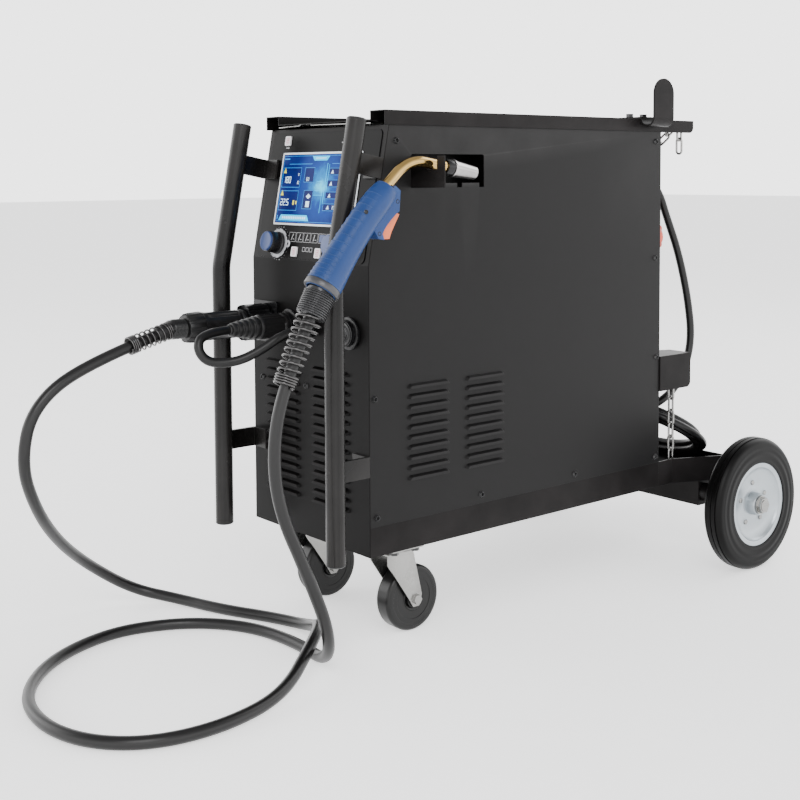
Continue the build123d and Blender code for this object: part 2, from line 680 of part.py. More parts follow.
# ===== front connections ==================================================
with BuildPart() as torch_socket:
    with BuildSketch(along(FRONT)):
        with Locations((TORCH_SOCKET_X, SOCKET_Z)):
            RectangleRounded(64, 64, 4)
    extrude(amount=5)
    with BuildSketch(along(FRONT - 5)):
        with Locations((TORCH_SOCKET_X, SOCKET_Z)):
            Circle(19)
    extrude(amount=25)
save(torch_socket, "torch_socket")

PLUG_START = FRONT - 46.5
with BuildPart() as torch_plug_nut:
    with BuildSketch(along(FRONT - 8)):
        with Locations((TORCH_SOCKET_X, SOCKET_Z)):
            Circle(28)
            with PolarLocations(29.5, 8):
                Circle(4.5, mode=Mode.SUBTRACT)
    extrude(amount=38)
    with BuildSketch(along(FRONT - 8)):
        with Locations((TORCH_SOCKET_X, SOCKET_Z)):
            Circle(19 + FIT)
    extrude(amount=40, mode=Mode.SUBTRACT)
save(torch_plug_nut, "torch_plug_nut")

PLUG_DROOP = math.radians(15)
PLUG_TAIL_Y = FRONT - 172
plug_tail = Plane(
    origin=(TORCH_SOCKET_X, PLUG_TAIL_Y, SOCKET_Z),
    x_dir=(1, 0, 0),
    z_dir=(0, -math.cos(PLUG_DROOP), -math.sin(PLUG_DROOP)),
)
SPRING_LENGTH = 74.0
HOSE_SEAT = 8.0
with BuildPart() as torch_plug:
    with BuildSketch(along(FRONT - 30.3)):
        with Locations((TORCH_SOCKET_X, SOCKET_Z)):
            Circle(19)
    extrude(amount=16.2)
    with BuildSketch(along(PLUG_START)):
        with Locations((TORCH_SOCKET_X, SOCKET_Z)):
            Circle(21)
    extrude(amount=75.5)
    with BuildSketch(along(FRONT - 122)):
        with Locations((TORCH_SOCKET_X, SOCKET_Z)):
            Circle(23.5)
    extrude(amount=28, taper=4)
    with BuildSketch(along(FRONT - 150)):
        with Locations((TORCH_SOCKET_X, SOCKET_Z)):
            Circle(15)
    extrude(amount=26)
    with BuildSketch(plug_tail.offset(-2)):
        Circle(14)
    extrude(amount=SPRING_LENGTH + 2)
    with BuildSketch(plug_tail.offset(HOSE_SEAT)):
        Circle(10)
    extrude(amount=SPRING_LENGTH - HOSE_SEAT, mode=Mode.SUBTRACT)
save(torch_plug, "torch_plug")

with BuildPart() as output_sockets:
    for x in (POLARITY_X, NEGATIVE_X):
        with BuildSketch(along(FRONT)):
            with Locations((x, SOCKET_Z)):
                Circle(24)
        extrude(amount=4)
        with BuildSketch(along(FRONT)):
            with Locations((x, SOCKET_Z)):
                Circle(19)
        extrude(amount=12)
    with BuildSketch(along(FRONT)):
        with Locations((GLAND_X, SOCKET_Z)):
            RegularPolygon(14, 6)
    extrude(amount=10)
    with BuildSketch(along(FRONT)):
        with Locations((GLAND_X, SOCKET_Z)):
            Circle(11)
    extrude(amount=24, taper=3)
save(output_sockets, "output_sockets")

with BuildPart() as polarity_plug:
    with BuildSketch(along(FRONT - 12)):
        with Locations((POLARITY_X, SOCKET_Z)):
            Circle(19)
    extrude(amount=50)
    with BuildSketch(along(FRONT - 62)):
        with Locations((POLARITY_X, SOCKET_Z)):
            Circle(17)
    extrude(amount=50, taper=7)
save(polarity_plug, "polarity_plug")

POLARITY_ROUTE = [
    (15, FRONT - 24, 458), (14, FRONT - 56, 452), (6, FRONT - 87, 432),
    (-8, FRONT - 120, 415.5), (-25, FRONT - 158, 415), (-33, FRONT - 173, 436),
    (-40, FRONT - 160, 457.5), (-45, FRONT - 112, 458),
]


def arc_radii(route, share=0.45):
    """Radius of each corner's tangent arc, from its two runs and its turn."""
    radii = []
    for before, corner, after in zip(route, route[1:], route[2:]):
        run_in = Vector(*corner) - Vector(*before)
        run_out = Vector(*after) - Vector(*corner)
        half_turn = math.radians(run_in.get_angle(run_out)) / 2
        radii.append(share * min(run_in.length, run_out.length) / math.tan(half_turn))
    return radii


def cord(name, route, radius):
    """Round cord along straight runs joined by tangent arcs."""
    radii = arc_radii(route)
    with BuildPart() as tube:
        with BuildLine() as line:
            FilletPolyline(*route, radius=radii)
        start = Plane(origin=route[0], z_dir=Vector(*route[1]) - Vector(*route[0]))
        with BuildSketch(start) as section:
            Circle(radius)
        sweep(section.sketch, path=line.wires()[0])
    length = line.wires()[0].length
    expected = math.pi * radius ** 2 * length
    print(name, "length", round(length), "volume ratio", round(tube.part.volume / expected, 3))
    print("   arc radii", [round(value) for value in radii])
    save(tube, name)


cord("polarity_lead", POLARITY_ROUTE, LEAD_RADIUS)

# ===== torch ==============================================================
def side_plane(y, z, y_step, z_step):
    """Plane in the torch's own upright plane, square to the given direction."""
    return Plane(origin=(TORCH_X, FRONT + y, z), x_dir=(1, 0, 0), z_dir=(0, y_step, z_step))


NECK_START = (-8, 665.2)
NECK_CORNER = (40, 708)
NECK_END = (110, 696.5)
NECK_SEAT = side_plane(
    *NECK_START, NECK_CORNER[0] - NECK_START[0], NECK_CORNER[1] - NECK_START[1])
GRIP_STATIONS = [
    (-109.5, 539, 25.0), (-98, 554, 24.0), (-84, 572, 22.4), (-60, 602, 21.0),
    (-35, 631, 20.5), (-12, 655, 19.5), (-1, 667, 16.0),
]
HOUSING = [
    (4, 671), (13.5, 664), (11.5, 635.5), (5.5, 632), (-4, 623.5), (-14, 613),
    (-18.5, 605.5), (-15.5, 597), (-26, 598.5), (-36, 616),
]
TRIGGER_POCKET = [
    (20, 638), (8, 638.5), (-5, 628), (-16, 617.5), (-21.5, 609), (-20, 598), (-14, 590), (20, 590),
]
TRIGGER_OUTLINE = [
    (9, 634.5), (16.5, 631), (7.5, 616), (2, 606.5), (-1.5, 597.5), (-13.5, 597.5),
    (-18.5, 606), (-13.5, 614), (-2.5, 625),
]
RING_DIRECTION = (0, -0.607, -0.794)


def torch_outline(points):
    """Torch outline moved to its place along the machine."""
    return [(FRONT + y, z) for y, z in points]


def grip_planes():
    """One plane per grip station, square to the grip's axis there."""
    planes = []
    for index, (y, z, radius) in enumerate(GRIP_STATIONS):
        low = GRIP_STATIONS[max(index - 1, 0)]
        high = GRIP_STATIONS[min(index + 1, len(GRIP_STATIONS) - 1)]
        planes.append((side_plane(y, z, high[0] - low[0], high[1] - low[1]), radius))
    return planes


for side, word in ((1, "right"), (-1, "left")):
    with BuildPart() as torch_shell:
        for plane, radius in grip_planes():
            with BuildSketch(plane):
                Circle(radius)
        loft()
        with BuildSketch(across(TORCH_X)):
            with BuildLine():
                Polyline(*torch_outline(HOUSING), close=True)
            make_face()
        extrude(amount=13, both=True)
        with BuildSketch(across(TORCH_X)):
            with BuildLine():
                Polyline(*torch_outline(TRIGGER_POCKET), close=True)
            make_face()
        extrude(amount=7.5, both=True, mode=Mode.SUBTRACT)
        with BuildSketch(grip_planes()[0][0]):
            Circle(GRIP_STATIONS[0][2] - 4)
        extrude(amount=30, mode=Mode.SUBTRACT)
        with BuildSketch(NECK_SEAT):
            Circle(NECK_RADIUS + FIT)
        extrude(amount=60, mode=Mode.SUBTRACT)
        split(bisect_by=across(TORCH_X + side * 0.02), keep=Keep.TOP if side > 0 else Keep.BOTTOM)
    save(torch_shell, f"torch_shell_{word}")

with BuildPart() as torch_trigger:
    with BuildSketch(across(TORCH_X)):
        with BuildLine():
            Polyline(*torch_outline(TRIGGER_OUTLINE), close=True)
        make_face()
    extrude(amount=6.5, both=True)
save(torch_trigger, "torch_trigger")

with BuildPart() as torch_neck:
    with BuildLine(across(TORCH_X)):
        FilletPolyline(
            (FRONT + NECK_START[0], NECK_START[1]), (FRONT + NECK_CORNER[0], NECK_CORNER[1]),
            (FRONT + NECK_END[0], NECK_END[1]), radius=60)
    with BuildSketch(NECK_SEAT):
        Circle(NECK_RADIUS)
    sweep()
save(torch_neck, "torch_neck")

NOZZLE_PLANE = side_plane(
    *NECK_END, NECK_END[0] - NECK_CORNER[0], NECK_END[1] - NECK_CORNER[1])
with BuildPart() as torch_nozzle:
    with BuildSketch(NOZZLE_PLANE):
        Circle(11.5)
    extrude(amount=9)
    with BuildSketch(NOZZLE_PLANE.offset(9)):
        Circle(12.8)
    with BuildSketch(NOZZLE_PLANE.offset(54)):
        Circle(9.8)
    loft()
    with BuildSketch(NOZZLE_PLANE.offset(54)):
        Circle(8)
    extrude(amount=-24, mode=Mode.SUBTRACT)
    with BuildSketch(NOZZLE_PLANE.offset(28)):
        Circle(4)
    extrude(amount=22)
save(torch_nozzle, "torch_nozzle")

BOOT_TOP = (-109.5, 539)
BOOT_END = (-133, 497.5)
BOOT_LENGTH = 46.6
boot_plane = side_plane(*BOOT_TOP, BOOT_END[0] - BOOT_TOP[0], BOOT_END[1] - BOOT_TOP[1])
ring_plane = side_plane(*BOOT_TOP, RING_DIRECTION[1], RING_DIRECTION[2])
spring_plane = side_plane(*BOOT_END, -0.44, -0.898)
with BuildPart() as torch_boot:
    with BuildSketch(ring_plane.offset(GAP)):
        Circle(25.5)
    extrude(amount=9)
    with BuildSketch(boot_plane.offset(8)):
        Circle(22)
    extrude(amount=BOOT_LENGTH - 8, taper=4)
save(torch_boot, "torch_boot")

TORCH_SPRING = 94.5
with BuildPart() as torch_spring:
    with BuildSketch(spring_plane.offset(1.5)):
        Circle(19.5)
        Circle(13, mode=Mode.SUBTRACT)
    extrude(amount=TORCH_SPRING)
save(torch_spring, "torch_spring")

HOSE_PATH = [
    (190, -133, 497.5), (190, -176.6, 408.4), (190, -194, 330), (191, -186, 250),
    (195, -146, 160), (205, -116, 75), (160, -86, 12), (75, -72, 9), (-10, -80, 9),
    (-75, -113, 9), (-125, -173, 9), (-148, -263, 9), (-105, -373, 9), (-18, -450, 9),
    (80, -473, 9), (165, -453, 9), (222, -393, 9), (236, -298, 9), (215, -198, 14),
    (168, -122, 44), (104, -58, 44), (35, -23, 14), (-45, -38, 9), (-125, -78, 9),
    (-215, -106, 9), (-272, -158, 22), (-268, -238, 80), (-210, -313, 145), (-150, -371, 215),
    (-114, -406, 290), (-108, -390, 370), (-108, -307.2, 421.8), (-108, -179.73, 455.93),
]
HOSE_ROUTE = [(x, FRONT + y, z) for x, y, z in HOSE_PATH]
cord("torch_hose", HOSE_ROUTE, HOSE_RADIUS)

# ===== rear hardware ======================================================
HANGER_Y = FRONT + 610
HANGER_WIDTH = 51.0
HANGER_OUT = 180.0
TROUGH_RADIUS = 14.0
with BuildPart() as hose_hanger:
    with BuildSketch(along(HANGER_Y + HANGER_WIDTH / 2)):
        with BuildLine():
            arm = Line((100, LID_TOP + 1.5), (HANGER_OUT - 2 * TROUGH_RADIUS, LID_TOP + 1.5))
            ThreePointArc(
                arm @ 1, (HANGER_OUT - TROUGH_RADIUS, LID_TOP + 1.5 - TROUGH_RADIUS),
                (HANGER_OUT, LID_TOP + 1.5))
            Line((HANGER_OUT, LID_TOP + 1.5), (HANGER_OUT, LID_TOP + 10))
        trace(line_width=3)
    extrude(amount=HANGER_WIDTH)
    with BuildSketch(across(HANGER_OUT - 1.5)):
        with Locations((HANGER_Y, LID_TOP + 41)):
            Circle(HANGER_WIDTH / 2)
        with Locations((HANGER_Y, LID_TOP + 5)):
            Rectangle(HANGER_WIDTH, 36, align=(Align.CENTER, Align.MIN))
    extrude(amount=3)
save(hose_hanger, "hose_hanger")

BRACKET_REACH = 84.0
CYLINDER_RADIUS = 106.0
CYLINDER_Y = REAR + 112
LOWER_BRACKET = (306.0, 367.0)
UPPER_BRACKET = (PANEL_TOP - 1, LID_TOP - 1)
with BuildPart() as cylinder_brackets:
    for low, high in (LOWER_BRACKET, UPPER_BRACKET):
        start = LID_REAR if high > PANEL_TOP else REAR
        with BuildSketch(level(low)):
            with Locations((0, start)):
                Rectangle(2 * LID_HALF, BRACKET_REACH, align=(Align.CENTER, Align.MIN))
                Rectangle(2 * LID_HALF - 5, BRACKET_REACH - 2.5, align=(Align.CENTER, Align.MIN),
                          mode=Mode.SUBTRACT)
            with Locations((0, start)):
                Rectangle(2 * LID_HALF, 2.5, align=(Align.CENTER, Align.MIN))
            with Locations((0, start + BRACKET_REACH)):
                Rectangle(2 * LID_HALF - 10, 10, mode=Mode.SUBTRACT)
        extrude(amount=high - low)
        with BuildSketch(level(high)):
            with Locations((0, start)):
                Rectangle(2 * LID_HALF, BRACKET_REACH, align=(Align.CENTER, Align.MIN))
            with Locations((0, CYLINDER_Y)):
                Circle(CYLINDER_RADIUS, mode=Mode.SUBTRACT)
        extrude(amount=-2.5)
        rear_corners = [
            edge for edge in cylinder_brackets.edges().filter_by(Axis.X)
            if edge.center().Y > start + BRACKET_REACH - 1 and edge.center().Z < low + 1
        ]
        fillet(rear_corners, 10)
save(cylinder_brackets, "cylinder_brackets")

LINK_WIRE = 1.9
LINK_LENGTH = 31.0
LINK_WIDTH = 14.5
LINK_PITCH = LINK_LENGTH - 4 * LINK_WIRE - 0.3
PIN_RADIUS = 2.5
LOWER_PIN = (REAR + 43, 332.0)
UPPER_PIN = (REAR + 60, 765.0)
PIN_LENGTH = 37.0
PIN_SLACK = 0.3
CHAIN_X = 139.0
DRAPE_HALF = 127.1
DRAPE_SAG = 59.0
DRAPE_LINKS = 13


def hanging_links(x, pin, count):
    """Planes of links hanging straight down from a pin, each a quarter turn on."""
    top = pin[1] + PIN_RADIUS + PIN_SLACK + 2 * LINK_WIRE - LINK_LENGTH / 2
    return [
        Plane(origin=(x, pin[0], top - index * LINK_PITCH), x_dir=(0, 0, -1),
              z_dir=(0, 1, 0) if index % 2 else (1, 0, 0))
        for index in range(count)
    ]


def draped_links():
    """Planes of links along the sagging chain between the two flanges."""
    curve = DRAPE_SAG / DRAPE_HALF ** 2
    planes = []
    for index in range(DRAPE_LINKS):
        distance = (index - (DRAPE_LINKS - 1) / 2) * LINK_PITCH
        x = distance
        for _ in range(12):
            x = distance / (1 + 2 / 3 * (curve * x) ** 2)
        z = UPPER_PIN[1] - DRAPE_SAG + curve * x ** 2
        run = Vector(1, 0, 2 * curve * x).normalized()
        normal = Vector(0, 1, 0) if index % 2 else run.cross(Vector(0, 1, 0))
        planes.append(Plane(origin=(x, UPPER_PIN[0], z), x_dir=run, z_dir=normal))
    return planes


with BuildPart() as cylinder_chains:
    half = LINK_LENGTH / 2 - LINK_WIDTH / 2
    bend = LINK_WIDTH / 2 - LINK_WIRE
    links = hanging_links(CHAIN_X, LOWER_PIN, 7)
    links += hanging_links(CHAIN_X, UPPER_PIN, 2)
    links += draped_links()
    for plane in links:
        with BuildLine(plane) as loop:
            Line((-half, bend), (half, bend))
            ThreePointArc((half, bend), (half + bend, 0), (half, -bend))
            Line((half, -bend), (-half, -bend))
            ThreePointArc((-half, -bend), (-half - bend, 0), (-half, bend))
        start = loop.edges()[0]
        with BuildSketch(Plane(origin=start @ 0, z_dir=start % 0)):
            Circle(LINK_WIRE)
        sweep(path=loop.wires()[0])
    for side, pin in ((1, LOWER_PIN), (1, UPPER_PIN), (-1, UPPER_PIN)):
        with BuildSketch(across(side * (LID_HALF - 2.5))):
            with Locations(pin):
                Circle(PIN_RADIUS)
        extrude(amount=-side * PIN_LENGTH)
save(cylinder_chains, "cylinder_chains")

with BuildPart() as mains_gland:
    with BuildSketch(along(REAR)):
        with Locations((MAINS_X, GLAND_Z)):
            RegularPolygon(15, 6)
    extrude(amount=-9)
    with BuildSketch(along(REAR + 9)):
        with Locations((MAINS_X, GLAND_Z)):
            Circle(13)
    extrude(amount=-14, taper=12)
save(mains_gland, "mains_gland")

with BuildPart() as mains_switch:
    with BuildSketch(along(REAR + GAP)):
        with Locations((SWITCH_X, SWITCH_Z)):
            Circle(22)
    extrude(amount=-12, taper=4)
    with BuildSketch(along(REAR + GAP + 12)):
        with Locations((SWITCH_X, SWITCH_Z)):
            SlotOverall(40, 12, rotation=90)
    extrude(amount=-16)
    with BuildSketch(along(REAR + GAP)):
        with Locations((SWITCH_X, SWITCH_Z)):
            Circle(4)
    extrude(amount=14)
save(mains_switch, "mains_switch")

MAINS_ROUTE = [
    (50, REAR + 23, 690), (51, REAR + 55, 688), (53, REAR + 86, 675), (57, REAR + 110, 648),
    (62, REAR + 123, 608), (75, REAR + 143, 540), (86, REAR + 159, 450), (92, REAR + 163, 370),
    (92, REAR + 128, 300), (88, REAR + 76, 268), (59, REAR + 43.7, 259.7),
]
cord("mains_cable", MAINS_ROUTE, MAINS_RADIUS)

COIL_CENTRE = (0, REAR + 106, 216.4)
COIL_TILT = math.radians(35)
COIL_REACH = (140.0, 84.0)
COIL_BAND = 44.0
COIL_THICKNESS = 30.0
coil_plane = Plane(
    origin=COIL_CENTRE, x_dir=(1, 0, 0), z_dir=(0, math.sin(COIL_TILT), math.cos(COIL_TILT)))
with BuildPart() as mains_coil:
    with BuildSketch(coil_plane):
        Ellipse(COIL_REACH[0] + COIL_BAND / 2, COIL_REACH[1] + COIL_BAND / 2)
        Ellipse(COIL_REACH[0] - COIL_BAND / 2, COIL_REACH[1] - COIL_BAND / 2, mode=Mode.SUBTRACT)
    extrude(amount=COIL_THICKNESS / 2, both=True)
save(mains_coil, "mains_coil")

PLUG_X = -62.0
PLUG_Y = REAR + 52
PLUG_RADIUS = 27.0
PLUG_Z = TRAY_BOTTOM + TRAY_SHEET + PLUG_RADIUS + 2.3
TAIL_ROUTE = [
    (-70, REAR + 46, 258), (-105, REAR + 62, 246), (-136, REAR + 72, 240),
    (-156, REAR + 74, 204.5), (-136, REAR + 68, PLUG_Z), (-95, REAR + 57, PLUG_Z),
    (PLUG_X, PLUG_Y, PLUG_Z),
]
cord("mains_tail", TAIL_ROUTE, MAINS_RADIUS)

with BuildPart() as mains_plug:
    with BuildSketch(across(PLUG_X)):
        with Locations((PLUG_Y, PLUG_Z)):
            Circle(13)
    extrude(amount=24)
    with BuildSketch(across(PLUG_X + 24)):
        with Locations((PLUG_Y, PLUG_Z)):
            Circle(22)
    extrude(amount=48)
    with BuildSketch(across(PLUG_X + 72)):
        with Locations((PLUG_Y, PLUG_Z)):
            Circle(PLUG_RADIUS)
    extrude(amount=42)
    with BuildSketch(across(PLUG_X + 114)):
        with Locations((PLUG_Y, PLUG_Z)):
            Circle(PLUG_RADIUS - 3)
    extrude(amount=-34, mode=Mode.SUBTRACT)
    with BuildSketch(across(PLUG_X + 80)):
        with Locations((PLUG_Y, PLUG_Z)):
            with PolarLocations(14, 5):
                Circle(3)
    extrude(amount=28)
save(mains_plug, "mains_plug")

# ===== inside the cabinet =================================================
SPOOL_Y = FRONT + 430
SPOOL_Z = 565.0
SPINDLE_RADIUS = 24.9
DIVIDER_X = -20.0
ROLL_Y = FRONT + 150
ROLL_Z = 470.0
with BuildPart() as divider_wall:
    with BuildSketch(across(DIVIDER_X)):
        with BuildLine():
            Polyline(
                (FRONT + 10, 206), (REAR - 10, 206), (REAR - 10, 750),
                (FRONT + 48, 750), (FRONT + 10, 550), close=True)
        make_face()
    extrude(amount=SHEET)
    with BuildSketch(across(DIVIDER_X)):
        with Locations((SPOOL_Y, SPOOL_Z)):
            Circle(34)
    extrude(amount=-10)
    with BuildSketch(across(DIVIDER_X - 10)):
        with Locations((SPOOL_Y, SPOOL_Z)):
            Circle(SPINDLE_RADIUS)
    extrude(amount=-104)
save(divider_wall, "divider_wall")

with BuildPart() as wire_spool:
    with BuildSketch(across(DIVIDER_X - 11)):
        with Locations((SPOOL_Y, SPOOL_Z)):
            Circle(150)
    extrude(amount=-4)
    with BuildSketch(across(DIVIDER_X - 15)):
        with Locations((SPOOL_Y, SPOOL_Z)):
            Circle(128)
    extrude(amount=-92)
    with BuildSketch(across(DIVIDER_X - 107)):
        with Locations((SPOOL_Y, SPOOL_Z)):
            Circle(150)
    extrude(amount=-4)
    with BuildSketch(across(DIVIDER_X)):
        with Locations((SPOOL_Y, SPOOL_Z)):
            Circle(SPINDLE_RADIUS + FIT)
    extrude(amount=-130, mode=Mode.SUBTRACT)
save(wire_spool, "wire_spool")

ROLL_RADIUS = 18.0
with BuildPart() as wire_feeder:
    with BuildSketch(across(DIVIDER_X)):
        with Locations((ROLL_Y, ROLL_Z)):
            Rectangle(150, 110)
    extrude(amount=-30)
    with BuildSketch(across(DIVIDER_X - 30)):
        with Locations((ROLL_Y, ROLL_Z - 18)):
            Circle(5)
    extrude(amount=-20)
    with BuildSketch(across(DIVIDER_X - 30)):
        with Locations((ROLL_Y, ROLL_Z + 19)):
            Circle(ROLL_RADIUS)
        with Locations((ROLL_Y - 55, ROLL_Z), (ROLL_Y + 55, ROLL_Z)):
            Rectangle(22, 12)
    extrude(amount=-16)
    with BuildSketch(across(DIVIDER_X - 46)):
        with Locations((ROLL_Y + 15, ROLL_Z + 22)):
            Rectangle(90, 16)
    extrude(amount=-8)
save(wire_feeder, "wire_feeder")

with BuildPart() as drive_roll:
    with BuildSketch(across(DIVIDER_X - 30 - GAP)):
        with Locations((ROLL_Y, ROLL_Z - 18)):
            Circle(ROLL_RADIUS)
            Circle(5 + FIT, mode=Mode.SUBTRACT)
    extrude(amount=-15)
save(drive_roll, "drive_roll")

with BuildPart() as power_module:
    with BuildSketch(level(215)):
        with Locations((60, FRONT + 330)):
            Rectangle(120, 360)
    extrude(amount=12)
    with BuildSketch(level(227)):
        with Locations((60, FRONT + 330)):
            with GridLocations(12, 0, 10, 1):
                Rectangle(4, 360)
    extrude(amount=60)
    with BuildSketch(level(287)):
        with Locations((60, FRONT + 330)):
            Rectangle(120, 360)
    extrude(amount=6)
    with BuildSketch(level(293)):
        with Locations((60, FRONT + 220), (60, FRONT + 400)):
            Rectangle(90, 110)
    extrude(amount=70)
save(power_module, "power_module")

with BuildPart() as fan_rotor:
    with BuildSketch(along(PANEL_BACK - 22)):
        with Locations((FAN_X, FAN_Z)):
            Circle(18)
            with PolarLocations(35, 7):
                Rectangle(36, 16)
            Circle(4 + FIT, mode=Mode.SUBTRACT)
    extrude(amount=16)
save(fan_rotor, "fan_rotor")
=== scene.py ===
import math

import bmesh
import bpy
from mathutils import Matrix, Vector


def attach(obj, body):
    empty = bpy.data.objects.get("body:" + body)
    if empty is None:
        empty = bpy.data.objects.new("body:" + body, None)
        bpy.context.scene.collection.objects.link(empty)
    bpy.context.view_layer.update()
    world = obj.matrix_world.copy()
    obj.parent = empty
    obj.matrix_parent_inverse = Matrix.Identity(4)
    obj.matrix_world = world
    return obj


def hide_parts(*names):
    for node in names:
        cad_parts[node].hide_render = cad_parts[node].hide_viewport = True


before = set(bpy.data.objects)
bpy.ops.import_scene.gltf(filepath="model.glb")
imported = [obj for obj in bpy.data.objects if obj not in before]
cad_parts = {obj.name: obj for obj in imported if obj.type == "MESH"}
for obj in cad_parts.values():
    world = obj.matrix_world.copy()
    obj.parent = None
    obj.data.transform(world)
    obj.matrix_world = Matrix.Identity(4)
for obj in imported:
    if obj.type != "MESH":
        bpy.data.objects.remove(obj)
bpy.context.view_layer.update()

# Driving dimensions, in millimetres like every length below that MM or point() turns into metres.
MM = 0.001
FRONT = -364.07
REAR = FRONT + 645
BEND_Z = 557
LEAN = math.atan2(38.6, 200)
PANEL_UP = Vector((0, math.sin(LEAN), math.cos(LEAN)))
PANEL_OUT = Vector((0, -math.cos(LEAN), math.sin(LEAN)))
FASCIA = 1.2
SCREEN_UP = 109.5
KNOB_X = 79
KNOB_UP = 24
SOCKET_Z = 458
PLUG_X = -108
POLARITY_X = -45
TORCH_X = 190
HANDLE_X = 146
HANDLE_Y = FRONT - 60
HANDLE_BEND = 545
HANDLE_TOP = 763
AXLE_Y = FRONT + 752
WHEEL_X = 262
WHEEL_RADIUS = 114
MAINS_X = 50
MAINS_Z = 690
LYING_PLUG_Z = 170.3
SIDES = ((1, "right"), (-1, "left"))


# ---- camera --------------------------------------------------------------
def add_camera():
    """The photograph's own viewpoint."""
    spot = Vector((1546.44, FRONT - 1106.92, 687.34)) * MM
    yaw, pitch, roll = (math.radians(v) for v in (50.56, 3.5, -0.3))
    ahead = Vector((-math.sin(yaw) * math.cos(pitch), math.cos(yaw) * math.cos(pitch), -math.sin(pitch)))
    right = Vector((math.cos(yaw), math.sin(yaw), 0))
    up = right.cross(ahead)
    turned = right * math.cos(roll) + up * math.sin(roll)
    upright = up * math.cos(roll) - right * math.sin(roll)
    data = bpy.data.cameras.new("photo_camera")
    data.lens = 57.09
    data.sensor_width = 36
    data.shift_x = 0.0096
    data.shift_y = -0.186
    data.clip_end = 50
    camera = bpy.data.objects.new("photo_camera", data)
    bpy.context.scene.collection.objects.link(camera)
    rotation = Matrix((turned, upright, -ahead)).transposed().to_4x4()
    camera.matrix_world = Matrix.Translation(spot) @ rotation
    bpy.context.scene.camera = camera


add_camera()


# ---- materials -----------------------------------------------------------
def node(tree, kind, **values):
    """One shader node, with its sockets and settings filled in by name."""
    made = tree.nodes.new(kind)
    for key, value in values.items():
        if key in made.inputs:
            made.inputs[key].default_value = value
        else:
            setattr(made, key, value)
    return made


